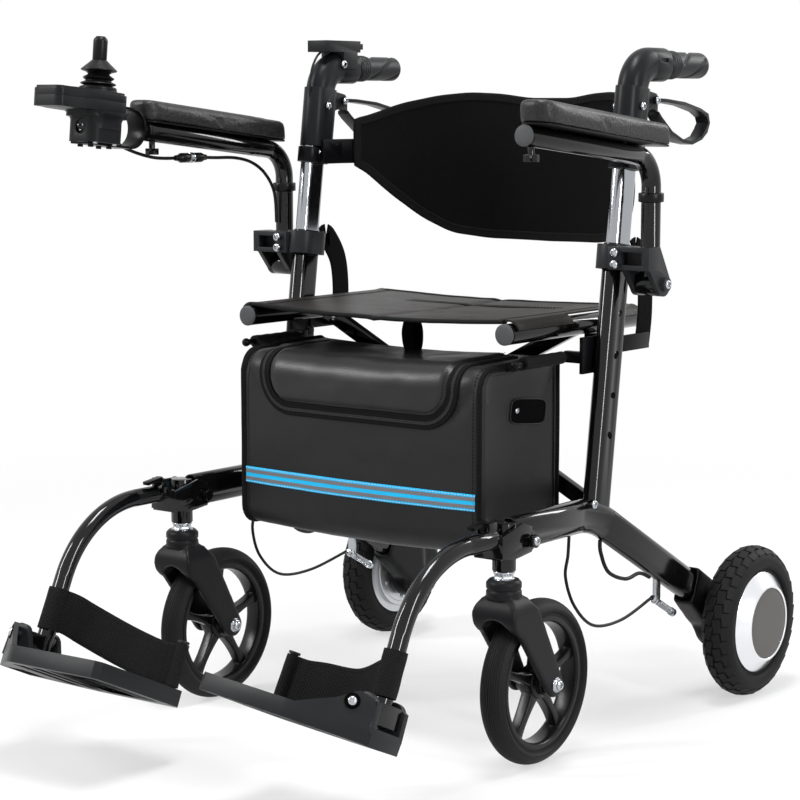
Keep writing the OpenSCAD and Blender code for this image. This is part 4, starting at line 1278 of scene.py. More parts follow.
@dataclass
class Studio:
    """The camera, the lamps and the pale floor."""

    eye: Point = (1.7222, -2.24814, 0.78398)
    aim: Point = (-0.078384, 0.106737, 0.393838)
    lens: float = 101.61

    def aimed(self, data: bpy.types.ID, spot: Point, aim: Point) -> Piece:
        """Stands a camera or a lamp somewhere, turned towards a point.

        Args:
            data: the camera or the lamp.
            spot: where it stands.
            aim: what it looks at.

        Returns:
            Its object.
        """
        obj = linked(data.name, data)
        obj.location = spot
        obj.rotation_euler = (Vector(aim) - Vector(spot)).to_track_quat("-Z", "Y").to_euler()
        return obj

    def camera(self) -> None:
        """Puts the camera where the photograph was taken."""
        data = bpy.data.cameras.new("camera")
        data.lens = self.lens
        data.sensor_width = 36.0
        bpy.context.scene.camera = self.aimed(data, self.eye, self.aim)

    def lamp(self, name: str, spot: Point, size: Flat, power: float) -> None:
        """Adds one soft lamp that looks at the chair.

        Args:
            name: the lamp's name.
            spot: where it stands.
            size: its two sides in metres.
            power: its power in watts.
        """
        data = bpy.data.lights.new(name, "AREA")
        data.shape = "RECTANGLE"
        data.size, data.size_y = size
        data.energy = power
        self.aimed(data, spot, (0, 0.1, 0.45))

    def world(self) -> None:
        """Even light from all round, seen as white."""
        world = bpy.data.worlds.new("studio_world")
        bpy.context.scene.world = world
        bench = Bench.on(world)
        soft = bench.add("ShaderNodeBackground", {0: (1, 1, 1, 1), 1: 0.4})
        white = bench.add("ShaderNodeBackground", {0: (1, 1, 1, 1), 1: 1.0})
        both = bench.add("ShaderNodeMixShader", {0: bench.seen(), 1: soft.outputs[0], 2: white.outputs[0]})
        bench.add("ShaderNodeOutputWorld", {0: both.outputs[0]})

    def floor(self) -> None:
        """A pale floor that keeps the chair's shadow and fades to white further out."""
        bm = bmesh.new()
        bmesh.ops.create_grid(bm, x_segments=8, y_segments=8, size=40.0)
        obj = object_from("studio_floor", bm)
        made = bpy.data.materials.new("studio_floor")
        bench = Bench.on(made)
        reach = bench.add("ShaderNodeVectorMath", {0: bench.coords()}, operation="LENGTH").outputs["Value"]
        far = bench.add("ShaderNodeMapRange", {0: reach, 1: 0.7, 2: 2.6},
                        interpolation_type="SMOOTHSTEP").outputs[0]
        matt = bench.add("ShaderNodeBsdfDiffuse", {0: (0.8, 0.8, 0.8, 1)})
        glow = bench.add("ShaderNodeEmission", {0: (1, 1, 1, 1), 1: 1.0})
        share = bench.math("MULTIPLY", bench.seen(), bench.span(far, 0.55, 1.0))
        both = bench.add("ShaderNodeMixShader", {0: share, 1: matt.outputs[0], 2: glow.outputs[0]})
        bench.add("ShaderNodeOutputMaterial", {0: both.outputs[0]})
        obj.data.materials.append(made)
        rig.stage(obj)

    def build(self) -> None:
        """Sets up the whole studio."""
        bpy.context.scene.view_settings.view_transform = "Standard"
        self.camera()
        self.world()
        self.floor()
        self.lamp("key_lamp", (-2.4, -2.4, 2.6), (0.4, 1.8), 95)
        self.lamp("fill_lamp", (2.9, -0.6, 1.5), (0.3, 1.6), 48)
        self.lamp("top_lamp", (0.3, -0.2, 3.0), (0.6, 1.1), 60)
        self.lamp("back_lamp", (1.2, 3.0, 2.2), (0.5, 1.6), 40)


@dataclass
class Cables:
    """The brake and motor cables of one side, along their routes."""

    side: Side
    brake_radius: float = 2.0
    motor_radius: float = 2.5
    brake: tuple[Point, ...] = ((251, 32, 263.6), (251, 30, 240), (251, 25, 214), (253, 42, 176),
                                (254, 84, 144), (254, 150, 139), (251, 226, 153))
    motor: tuple[Point, ...] = ((251, 102, 248), (251, 104, 232), (255, 116, 206), (259, 150, 192),
                                (257, 186, 193), (255, 214, 183))

    def build(self) -> None:
        """Draws both cables as smooth tubes."""
        node = self.side.node
        for name, radius, route in (("brake_cable", self.brake_radius, self.brake),
                                    ("motor_cable", self.motor_radius, self.motor)):
            cable(node(name), self.side.curve(route), radius, 14, node("frame"), [node("cables")])


@dataclass
class SideFrame:
    """One side of the folding frame with its brackets, strap and brake gear."""

    side: Side
    kit: Kit
    edge: float = 0.6
    lean: float = 7.6
    pin_heights: tuple[float, ...] = (380, 428, 476)

    def strap(self) -> None:
        """The webbing loop that holds the arm clamp to the side."""
        node = self.side.node
        path = self.side.curve([(248, 175.2, 600), (248, 184, 600), (247, 204, 570), (246, 209, 526),
                                (246, 203, 486)])
        obj = sweep(node("strap_webbing"), path, tape_section(0.034, 0.0022), Vector((0, 1, 0.35)))
        place(obj, node("frame"), Finishes.WEBBING, "webbing", [node("side_strap")])

    def fasteners(self) -> None:
        """The plated bolts of this side, and dark discs of painted shade on the upright where its pin hole openings
        are.
        """
        at_, node = self.side.at, self.side.node
        out = OUT * self.side.value
        spots = [(at_(284.4, -88, 280), out), (at_(229.6, -88, 280), -out), (at_(267.5, 62, 300), out),
                 (at_(271.0, 347, 133), out), (at_(317.0, 144, 565), out), (at_(268, 99.0, 604), -REAR),
                 (at_(268, 99.0, 590), -REAR)]
        self.kit.screws(node("frame_bolts"), spots, node("frame"), 1.1)
        slope = tan(radians(self.lean))
        # Painted shade: dark discs stand for the pin hole openings in the upright.
        hole_shades = [(at_(260.05, 94.8 + (z - 293) * slope, z), out) for z in self.pin_heights]
        self.kit.screws(node("pin_holes"), hole_shades, node("frame"), 0.75, painted_hole=True)

    def build(self) -> None:
        """Builds the side's pieces."""
        node = self.side.node
        body = node("frame")
        rounded(node("side_frame"), body, Finishes.GLOSS_BLACK, "gloss_black_frame", self.edge)
        bracket = moulded(machined(node("rear_bracket"), 5.0, 4), 1.8, 24, lambda p: p.z > 0)
        place(bracket, body, Finishes.CAST_BLACK, "satin_black_steel", [node("rear_bracket")])
        rounded(node("arm_clamp"), body, Finishes.CHARCOAL, "charcoal_plastic", 1.6, 3)
        rounded(node("bag_rod"), body, Finishes.SATIN_BLACK, "satin_black_steel", 0.8)
        rounded(node("brake_gear"), body, Finishes.PLATED, "plated_steel", 0.15)
        self.strap()
        self.fasteners()


@dataclass
class Seat:
    """The crossed bars, the seat rails and the seat sheet that is sewn round them."""

    kit: Kit
    rail_x: float = 202.0
    rail_z: float = 511.0
    hem_r: float = 14.3
    front: float = -30.0
    back: float = 248.0
    notch: Flat = (90.0, 172.0)
    dip: float = 7.0
    slit: float = 174.0
    face_a: float = 111.9
    face_b: float = 134.1
    cloth: float = 2.2

    def top(self, x: float, y: float) -> float:
        """The height of the sheet between the rails.

        Args:
            x: the place across the seat.
            y: the place along the chair.

        Returns:
            The height in millimetres.
        """
        u = clamp(x / self.rail_x, -1.0)
        depth = self.dip * (0.55 + 0.45 * cos(pi * (y - 109) / 300))
        edge = 1.0 + 0.5 * exp(-((y - self.front) / 30) ** 2)
        crease = 1.8 * exp(-(x / 6) ** 2)
        gap = 3.2 * exp(-((y - self.slit) / 3.2) ** 2) * max(0.0, 1 - (abs(x - 20) / 120) ** 8)
        slow, fine = noise.noise(Vector((x / 60, y / 45, 2.0))), noise.noise(Vector((x / 22, y / 18, 5.0)))
        ripple = 0.9 * slow + 0.4 * fine
        return self.rail_z + self.hem_r - depth * edge * (1 - u * u) - crease - gap + ripple * (1 - u * u)

    def row(self, y: float) -> list[Vector]:
        """One row of the sheet's points across the seat.

        Args:
            y: the row's place along the chair.

        Returns:
            The row, from under one rail over the top to under the other.
        """
        swell = 1.1 * exp(-((y - self.front) / 9) ** 2) + 1.1 * exp(-((y - self.back) / 9) ** 2)
        r = self.hem_r + swell
        wrap = [radians(a) for a in spaced(162, 90, 6)]
        left = [(-self.rail_x + r * cos(a), self.rail_z + r * sin(a)) for a in wrap]
        span = [(x, self.top(x, y)) for x in spaced(-self.rail_x, self.rail_x, 64)[1:-1]]
        right = [(-x, z) for x, z in reversed(left)]
        return [at(x, y, z) for x, z in left + span + right]

    def line(self, start: Flat, end: Flat, steps: int, lift: float) -> list[Vector]:
        """A line over the sheet.

        Args:
            start: where it starts, across and along the seat.
            end: where it ends.
            steps: how many pieces it is cut into.
            lift: how far it stands off the sheet.

        Returns:
            The line's points.
        """
        spots = zip(spaced(start[0], end[0], steps), spaced(start[1], end[1], steps))
        return [at(x, y, self.top(x, y) + lift) for x, y in spots]

    def sheet(self) -> tuple[Piece, float, float]:
        """The seat sheet, with hems round the rails and a gap for the bars.

        Returns:
            The sheet's object, the width it was cut to, and its flat area.
        """
        ys = sorted(set(spaced(self.front, self.back, 92)) | set(self.notch))
        rows = [self.row(y) for y in ys]
        obj = loft("seat_sheet", rows, wrap=False)
        low, high = (self.notch[0] + Y_MID) / 1000, (self.notch[1] + Y_MID) / 1000
        bm = bmesh.new()
        bm.from_mesh(obj.data)
        middles = [(f, f.calc_center_median()) for f in bm.faces]
        gone = [f for f, c in middles if low < c.y < high and abs(c.x) > (self.rail_x + 1.0) / 1000]
        bmesh.ops.delete(bm, geom=gone, context="FACES")
        if sum(f.normal.z for f in bm.faces) < 0:
            bmesh.ops.reverse_faces(bm, faces=bm.faces)
        area = sum(f.calc_area() for f in bm.faces)
        bm.to_mesh(obj.data)
        bm.free()
        width = max(length_of(row) for row in rows)
        return soften(shaped(obj, "SOLIDIFY", thickness=self.cloth / 1000, offset=1.0), 60), width, area

    def crossing(self, obj: Piece, finish: Finish, slot: str = "seat_fabric",
                 stands_for: Sequence[str] = ()) -> Piece:
        """Dresses a piece and bends it between the two bars.

        Args:
            obj: the piece, which rides on nothing else.
            finish: its finish.
            slot: the record's material slot.
            stands_for: the CAD nodes that it replaces.

        Returns:
            The same object.
        """
        reach = self.rail_x - 14
        ends = at(-reach, 100, 520), at(reach, 100, 520)
        return bend(obj, finish, slot, ("brace_a", "brace_b"), *ends, stands_for)

    def trims(self) -> list[Piece]:
        """The bound edges, the seams, a dark band of painted shade in the slit, and the hanging loop.

        Returns:
            The trims, each bent with the sheet.
        """
        made = []
        for name, y in (("seat_front_hem", self.front + 2.5), ("seat_back_hem", self.back - 2.5)):
            obj = sweep(name, self.line((-196, y), (196, y), 70, 0.6), tape_section(0.0105, 0.0052), REAR)
            made.append(self.crossing(obj, Finishes.SEAT_BINDING))
        seams = [self.line((x, self.front + 6), (x, self.back - 6), 60, 2.5) for x in (-184, -180, 180, 184)]
        for y, mid, reach in ((self.front + 9.5, 0, 176), (self.back - 9.5, 0, 176),
                              (self.slit - 7.5, 20, 118), (self.slit + 7.5, 20, 118)):
            seams.append(self.line((mid - reach, y), (mid + reach, y), 70, 2.5))
        obj = self.kit.stitcher.sew("seat_seams", seams, Finishes.SEAT_THREAD, 5.0, 3.6, 0.8)
        made.append(self.crossing(obj, Finishes.SEAT_THREAD))
        # Painted shade: a thin near-black band laid along the slit, where its opening shows dark.
        band = [p - REAR * 0.008 for p in self.line((-96, self.slit + 9), (136, self.slit + 9), 40, 0.4)]
        obj = sweep("seat_slit", band, tape_section(0.0062, 0.0014), Vector((0, 1, 0.1)))
        made.append(self.crossing(obj, Finishes.HOLLOW, "webbing"))
        drop = Side.LEFT.curve([(0, 44, 512), (-1, 40, 496), (1, 41, 478), (3, 47, 471), (4, 53, 478),
                                (2, 57, 496), (0, 54, 512)])
        obj = sweep("seat_pull_loop", drop, tape_section(0.017, 0.0018), Vector((1, 0.1, 0)))
        made.append(self.crossing(obj, Finishes.WEBBING, "webbing"))
        return made

    def caps(self) -> None:
        """The grey caps in the rails' ends."""
        for sign, body in ((-1, "brace_a"), (1, "brace_b")):
            rings = [(12.4, 0.0), (12.9, -0.6), (12.9, -2.2), (12.0, -3.2), (9.0, -3.9), (4.0, -4.2),
                     (0.0, -4.25)]
            for end, y, way in (("front", -35.9, 1.0), ("back", 261.9, -1.0)):
                obj = lathe(f"{body}_{end}_cap", rings, at(sign * self.rail_x, y, self.rail_z), REAR * way,
                            36)
                place(obj, body, Finishes.CAP_GREY, "charcoal_plastic")

    def bolts(self) -> None:
        """The bolts of the crossed bars, and dark discs of painted shade where two small hole openings are."""
        screws, front = self.kit.screws, -REAR
        screws("brace_a_bolts", [(at(0, self.face_a, 406.2), front), (at(224, self.face_a, 290), front)],
               "brace_a", 1.3)
        screws("brace_a_stud", [(at(-180, self.face_a, 499.6), front)], "brace_a", 0.9)
        # Painted shade: two dark discs stand for small hole openings in the bar.
        hole_shades = [(at(-160, self.face_a, 489.2), front), (at(-143, self.face_a, 480.4), front)]
        screws("brace_a_holes", hole_shades, "brace_a", 0.6, painted_hole=True)
        screws("brace_b_bolts", [(at(-224, self.face_b, 290), REAR), (at(0, self.face_b, 406.2), REAR)],
               "brace_b", 1.3)

    def build(self) -> None:
        """Builds the bars and the sheet."""
        for bar in ("brace_a", "brace_b"):
            rounded(bar, bar, Finishes.GLOSS_BLACK, "gloss_black_frame", 1.2, 3)
        self.caps()
        self.bolts()
        obj, width, area = self.sheet()
        self.crossing(obj, Finishes.SEAT_CLOTH, stands_for=["seat_sling"])
        length = (self.back - self.front) / 1000
        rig.sheet(obj, flat=(width, length), held="stretched", rests_on=["brace_a_body", "brace_b_body"],
                 area=min(area, width * length), with_pieces=self.trims())


Edge = tuple[Flat, Flat]
Dressed = list[tuple[Piece, Finish | None]]


@dataclass
class Bag:
    """The soft bag under the seat: a sagging shell with bindings, a lid, a tape and sleeves for its rods."""

    kit: Kit
    half: float = 188.0
    front: float = -65.0
    rear: float = 102.0
    low: float = 246.0
    high: float = 474.0
    radii: tuple[float, float, float, float] = (24.0, 27.0, 12.0, 24.0)
    edge: float = 9.0
    rod_span: float = 424.0
    hole: Flat = (39.0, 410.0)
    lid_half: float = 141.0
    lid_foot: float = 176.0
    lid_end: float = 352.0
    lid_round: float = 34.0
    tape_low: float = 67.5
    tape_high: float = 88.0
    known: list[Edge] = field(default_factory=list)

    @staticmethod
    def between(first: Edge, second: Edge, t: float) -> Edge:
        """A place between two of the outline's, with its outward direction."""
        return tuple(tuple(a + (b - a) * t for a, b in zip(u, v)) for u, v in zip(first, second))

    def loop(self) -> list[Edge]:
        """The bag's outline seen from its side, from the front's foot up over the top.

        Returns:
            Points with their outward directions, closed.
        """
        if self.known:
            return self.known
        made: list[Edge] = []
        corners = [(self.front, self.low, 270, 6), (self.front, self.high - 2, 180, 8),
                   (self.rear, self.high, 90, 8), (self.rear, self.low, 0, 6)]
        for (y, z, start, steps), r in zip(corners, self.radii):
            cy = y + (r if y < 0 else -r)
            cz = z + (r if z < 300 else -r)
            turn = [radians(a) for a in spaced(start, start - 90, steps)]
            made += [((cy + r * cos(a), cz + r * sin(a)), (cos(a), sin(a))) for a in turn]
        for first, second in zip(made, made[1:] + made[:1]):
            count = max(1, round(dist(first[0], second[0]) / 7))
            self.known += [self.between(first, second, i / count) for i in range(count)]
        return self.known

    def along(self, s: float) -> Edge:
        """The outline's place at a distance from its start.

        Args:
            s: the distance.

        Returns:
            The point and its outward direction.
        """
        loop = self.loop()
        for first, second in zip(loop, loop[1:] + loop[:1]):
            gap = dist(first[0], second[0])
            if s <= gap:
                return self.between(first, second, s / gap)
            s -= gap
        return loop[0]

    def skin(self, p: Flat, n: Flat, x: float, lift: float = 0.0) -> Vector:
        """A point of the bag's skin.

        Args:
            p: the outline's point.
            n: its outward direction.
            x: the place across the bag.
            lift: how far the point stands off the skin.

        Returns:
            The point in metres.
        """
        y, z = p
        belly = 1 - clamp(x / self.half, -1.0) ** 2
        share = clamp((z - self.low) / (self.high - self.low))
        swell = 3.5 * belly * sin(pi * share)
        crease = (1.3 * noise.noise(Vector((x / 70, y / 60, z / 50)))
                  + 0.6 * noise.noise(Vector((x / 25, y / 30, z / 22))))
        fold = 0.0
        if y < 0:
            run = abs(abs(x) - (self.half - 8 - 0.75 * max(0.0, self.high - 22 - z)))
            fold = -3.0 * exp(-(run / 6) ** 2) * clamp((z - 395) / 25)
        off = swell + crease * (0.35 + 0.65 * belly) + fold + lift
        sag = -6.0 * belly * max(0.0, 1 - (z - self.low) / 90)
        dish = -5.0 * belly * max(0.0, 1 - (self.high - z) / 40)
        return at(x, y + n[0] * off, z + n[1] * off + sag + dish)

    def spot(self, x: float, s: float, lift: float = 0.0) -> Vector:
        """A point on the skin at a distance along the outline."""
        return self.skin(*self.along(s), x, lift)

    def side_x(self, y: float, z: float) -> float:
        """How far out the side panel stands at a place."""
        share = max(abs(y - (self.front + self.rear) / 2) / ((self.rear - self.front) / 2),
                    abs(z - (self.low + self.high) / 2) / ((self.high - self.low) / 2))
        return self.half - 5 * (1 - min(1.0, share) ** 2) - 0.5

    def shell(self) -> Piece:
        """The bag's own skin.

        Returns:
            The shell's object.
        """
        loop = self.loop()
        mid_y, mid_z = (self.front + self.rear) / 2, (self.low + self.high) / 2
        stations = [(share, 0.0, self.half - 5 * (1 - share * share) - 0.5)
                    for share in (0.0, 0.3, 0.55, 0.75, 0.9)]
        stations += [(1.0, self.edge * (1 - sin(a)), self.half - self.edge * (1 - cos(a)))
                     for a in spaced(0, pi / 2, 4)]
        wide = self.half - self.edge - 6
        run = [(1.0, 0.0, x) for x in spaced(wide, -wide, 56)]
        rings = []
        for share, inset, x in stations + run + [(s, i, -x) for s, i, x in reversed(stations)]:
            if share < 1:
                ring = [at(x, mid_y + (p[0] - mid_y) * share, mid_z + (p[1] - mid_z) * share)
                        for p, n in loop]
            else:
                ring = [self.skin(p, n, x, -inset) for p, n in loop]
            rings.append(ring)
        return soften(loft("bag_shell", rings), 70)

    def lid_width(self, s: float, grow: float = 0.0) -> float:
        """The half width of the lid at a distance along the outline."""
        r = self.lid_round + grow
        d = max(0.0, s - (self.lid_foot - grow))
        short = 0.0 if d >= r else r - sqrt(max(0.0, r * r - (r - d) ** 2))
        return self.lid_half + grow - short - 0.03 * max(0.0, 230 - s)

    def lid(self) -> Piece:
        """The lid that falls over the front, a little puffed.

        Returns:
            The lid's object.
        """
        rings = []
        steps = [self.lid_foot + (self.lid_end - self.lid_foot) * (k / 48) ** 1.35 for k in range(49)]
        for i, s in enumerate(steps):
            width = self.lid_width(s)
            ring = []
            for k, u in enumerate(spaced(-1, 1, 44)):
                near = min(1.0, (1 - abs(u)) * width / 9, max(0.0, (s - self.lid_foot)) / 9)
                uneven = 1.4 * noise.noise(Vector((u * 3.1, s / 48, 9.0))) * near
                puff = 5.2 * sqrt(max(0.0, near)) + uneven
                ring.append(self.spot(u * width, s, puff - (0.6 if i == 0 or k in (0, 44) else 0.0)))
            rings.append(ring)
        return soften(loft("bag_lid", rings, wrap=False), 70)

    def rim(self, grow: float, lift: float) -> tuple[list[Vector], list[Vector]]:
        """The line round the lid's free edge.

        Args:
            grow: how far outside the lid's edge it runs.
            lift: how far off the skin.

        Returns:
            The line's points, and at each the direction across it on the skin.
        """
        foot = self.lid_foot - grow
        side = [foot + (self.lid_end - foot) * t ** 1.8 for t in spaced(0, 1, 60)]
        flat = [(-self.lid_width(s, grow), s) for s in reversed(side)]
        inner = self.lid_width(foot, grow)
        flat += [(x, foot) for x in spaced(-inner, inner, 30)[1:-1]]
        flat += [(self.lid_width(s, grow), s) for s in side]
        path = [self.spot(x, s, lift) for x, s in flat]
        across = []
        for k, (x, s) in enumerate(flat):
            out = self.spot(x, s, lift + 2) - self.spot(x, s, lift)
            step = path[min(k + 1, len(path) - 1)] - path[max(k - 1, 0)]
            across.append(out.cross(step).normalized())
        return path, across

    def tape(self, name: str, low: float, high: float, lift: float) -> Piece:
        """A tape sewn across the front.

        Args:
            name: the piece's name.
            low: its lower edge along the outline.
            high: its upper edge.
            lift: how far it stands off the skin.

        Returns:
            The tape's object.
        """
        wide = self.half - 7
        rows = [(low, lift - 0.9), (low + 0.3, lift), (low * 0.7 + high * 0.3, lift),
                (low * 0.3 + high * 0.7, lift), (high - 0.3, lift), (high, lift - 0.9)]
        rings = [[self.spot(x, s, up) for x in spaced(-wide, wide, 80)] for s, up in rows]
        return soften(loft(name, rings, wrap=False), 60)

    def hand_slot(self, side: Side) -> Dressed:
        """The hand hole in one side panel, a shallow dish with a near-black finish as painted shade, and its stitched
        lip.

        Args:
            side: the side of the bag.

        Returns:
            The hole's painted shade and its lip, with their finishes.
        """
        y0, z0 = self.hole
        c, s = cos(radians(-6)), sin(radians(-6))
        outline = []
        for a in turns(48):
            u, v = squarish(a, 0.35, 0.45)
            outline.append((y0 + 37 * u * c - 15.5 * v * s, z0 + 37 * u * s + 15.5 * v * c))
        lip = [side.at(self.side_x(y, z) + 0.9, y, z) for y, z in outline]
        rings = [[side.at(self.side_x(y, z) + sink, y0 + (y - y0) * share, z0 + (z - z0) * share)
                  for y, z in outline]
                 for share, sink in ((1.0, 1.0), (0.97, 0.4), (0.6, 0.6), (0.2, 0.7))]
        # Painted shade: the dish inside the hole takes the near-black finish, in place of the hole's shaded depth.
        hole = soften(loft(side.node("bag_hand_hole"), rings, caps=True), 40)
        ring = sweep(side.node("bag_hand_lip"), lip, tape_section(0.0022, 0.0014), OUT * side.value,
                     closed=True)
        return [(hole, Finishes.HOLLOW), (ring, Finishes.BAG_SKIN)]

    def sleeve(self, side: Side) -> Piece:
        """The cloth sleeve that hangs one side of the bag on its rod.

        Args:
            side: the side of the bag.

        Returns:
            The sleeve's object.
        """
        section = [(170.0, 468.0), (186.0, 470.5), (199.0, 472.5)]
        section += [(212 + 7.8 * cos(radians(a)), 475 + 7.8 * sin(radians(a)))
                    for a in range(160, -200, -24)]
        section += [(200.0, 467.0), (188.0, 463.0), (172.0, 460.0)]
        rings = []
        for k, y in enumerate(spaced(-13, 71, 30)):
            droop = 1.0 * sin(k * 0.9) + 1.2 * noise.noise(Vector((0.0, y / 14, side.value)))
            rings.append([side.at(x, y, z + droop * (0.2 if x > 203 else 1.0)) for x, z in section])
        return soften(loft(side.node("bag_sleeve"), rings, caps=True), 60)

    def welts(self) -> Dressed:
        """The ribbed bindings round both side panels, with their seams.

        Returns:
            The bindings and the seams, with their finishes.
        """
        made: Dressed = []
        lines = []
        loop = self.loop()
        for side in Side:
            path = [self.skin(p, n, side.value * (self.half - 3.2), -1.4) for p, n in loop]
            across = [Vector((side.value, n[0] * 0.9, n[1] * 0.9)) for p, n in loop]
            obj = sweep(side.node("bag_welt"), path, tape_section(0.0098, 0.0062, 4), across, closed=True)
            made.append((obj, Finishes.BINDING))
            for x, lift in ((self.half - 11.0, 0.5), (self.half - 1.2, -10.5)):
                lines.append([self.skin(p, n, side.value * x, lift) for p, n in loop[:-1]])
        seams = self.kit.stitcher.sew("bag_welt_seams", lines, Finishes.DARK_THREAD, 4.6, 3.2, 0.8)
        return made + [(seams, None)]

    def build(self) -> None:
        """Builds the bag and makes it fold with the frame."""
        sew = self.kit.stitcher.sew
        dressed: Dressed = [(self.shell(), Finishes.BAG_SKIN), (self.lid(), Finishes.BAG_LID)]
        bands = (("bag_zip_band", 7.5, 1.2, tape_section(0.0165, 0.0030), Finishes.BINDING),
                 ("bag_lid_piping", 0.4, 1.6, round_section(0.0019, 10), Finishes.BINDING),
                 ("bag_zip", 8.0, 2.6, tape_section(0.0042, 0.0016), Finishes.ZIP))
        for name, grow, lift, section, finish in bands:
            path, across = self.rim(grow, lift)
            dressed.append((sweep(name, path, section, across), finish))
        dressed.append((self.tape("bag_tape_blue", self.tape_low, self.tape_high, 1.1), Finishes.CYAN))
        for name, low in (("bag_tape_low", 3.2), ("bag_tape_high", 12.5)):
            start = self.tape_low + low
            dressed.append((self.tape(name, start, start + 4.8, 1.6), Finishes.TAPE_GREY))
        across = spaced(8 - self.half, self.half - 8, 120)
        rows = [[self.spot(x, s, 1.6) for x in across] for s in (self.tape_low + 1.6, self.tape_high - 1.6)]
        dressed.append((sew("bag_tape_seams", rows, Finishes.WHITE_THREAD, 4.6, 2.9, 0.8), None))
        rows = [self.rim(-5.0, 5.6)[0]]
        dressed.append((sew("bag_lid_seams", rows, Finishes.DARK_THREAD, 4.2, 2.8, 1.2), None))
        dressed += self.welts()
        for side in Side:
            dressed += self.hand_slot(side) + [(self.sleeve(side), Finishes.BAG_CLOTH)]
        pieces = [place(obj, "left_frame", finish, "bag_sheet", ["bag"]) for obj, finish in dressed]
        pieces.append(self.kit.screws("bag_left_bolt", [(at(187.5, 11, 414), OUT)], "left_frame", 0.75))
        keep = (self.rod_span - FOLD_MOVE) / self.rod_span
        for obj in pieces:
            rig.squash(obj, "fold", axis=(1, 0, 0), anchor=at(self.rod_span / 2, 0, 0), keep=keep)


@dataclass
class Handle:
    """One push handle: the inner tube, its head, the grip, the brake lever and the back bracket."""

    side: Side
    kit: Kit
    head_x: float = 248.0
    grip_y: float = 241.0
    grip_z: float = 831.0
    grip_len: float = 90.0
    grip_r: float = 16.5

    def grip(self) -> Piece:
        """The rubber grip with its winding grooves and collar.

        Returns:
            The grip's object.
        """
        rings = []
        for t in spaced(0, self.grip_len, 96):
            ring = []
            for a in turns(56):
                r = self.grip_r
                if 2.0 <= t <= 20.0:
                    r += 1.5 - 0.8 * max(0.0, cos((t - 2) * tau / 4.5))
                elif t > 24:
                    for start in (0.0, tau / 3, 2 * tau / 3):
                        turn = (a * self.side.value + start - (t - 24) * 0.045) % tau
                        d = min(turn, tau - turn) * r
                        r -= 2.3 * exp(-(d / 2.2) ** 2) * min(1.0, (t - 24) / 4, max(0.0, (86 - t) / 5))
                if t > self.grip_len - 5:
                    r -= 5 - sqrt(max(0.0, 25 - (t - self.grip_len + 5) ** 2))
                if t < 1.5:
                    r -= 1.5 - t
                x, z = self.head_x + r * cos(a), self.grip_z + r * sin(a)
                ring.append(self.side.at(x, self.grip_y + t, z))
            rings.append(ring)
        return soften(loft(self.side.node("grip_rubber"), rings, caps=True), 40)

    def lead(self) -> None:
        """The short lead from the rear control down into the handle's head."""
        path = self.side.curve([(248, 170, 852), (248, 161, 845), (247, 150, 829), (246, 144, 806),
                                (246, 146, 782), (247, 152, 768), (248, 158, 762)], 6)
        cable("control_lead", path, 1.6, 10, self.side.node("handle"))

    def fasteners(self) -> None:
        """The screws of the head, the lever and the back bracket."""
        at_, node = self.side.at, self.side.node
        out = OUT * self.side.value
        spots = [(at_(267.4, 163, 780), out), (at_(228.6, 163, 780), -out), (at_(262, 206, 787), out),
                 (at_(234, 206, 787), -out)]
        self.kit.screws(node("head_screws"), spots, node("handle"), 1.0)
        self.kit.screws(node("bracket_screws"), [(at_(236, 149.9, 718), -REAR)], node("handle"), 0.9)
        if self.side is Side.RIGHT:
            self.kit.screws("control_clamp_bolt", [(at_(229.4, 197.6, 836), -out)], "right_handle", 1.1)

    def build(self) -> None:
        """Builds the handle's pieces."""
        node = self.side.node
        body = node("handle")
        rounded(node("handle_tube"), body, Finishes.CHROME, "chrome_tube", 0.5)
        rounded(node("head_cover"), body, Finishes.HEAD_GREY, "charcoal_plastic", 2.2, 3)
        place(self.grip(), body, Finishes.SOFT_RUBBER, "soft_rubber", [node("grip")])
        rounded(node("back_bracket"), body, Finishes.SATIN_BLACK, "satin_black_steel", 0.8)
        rounded(node("brake_lever"), node("brake_lever"), Finishes.LEVER_GREY, "charcoal_plastic", 1.6, 3)
        self.fasteners()
        if self.side is Side.RIGHT:
            rounded("attendant_box", body, Finishes.CASE, "controller_plastic", 2.0, 3)
            rounded("attendant_lever", "attendant_lever", Finishes.BLACK_PLASTIC, "black_plastic", 1.2, 3)
            self.lead()


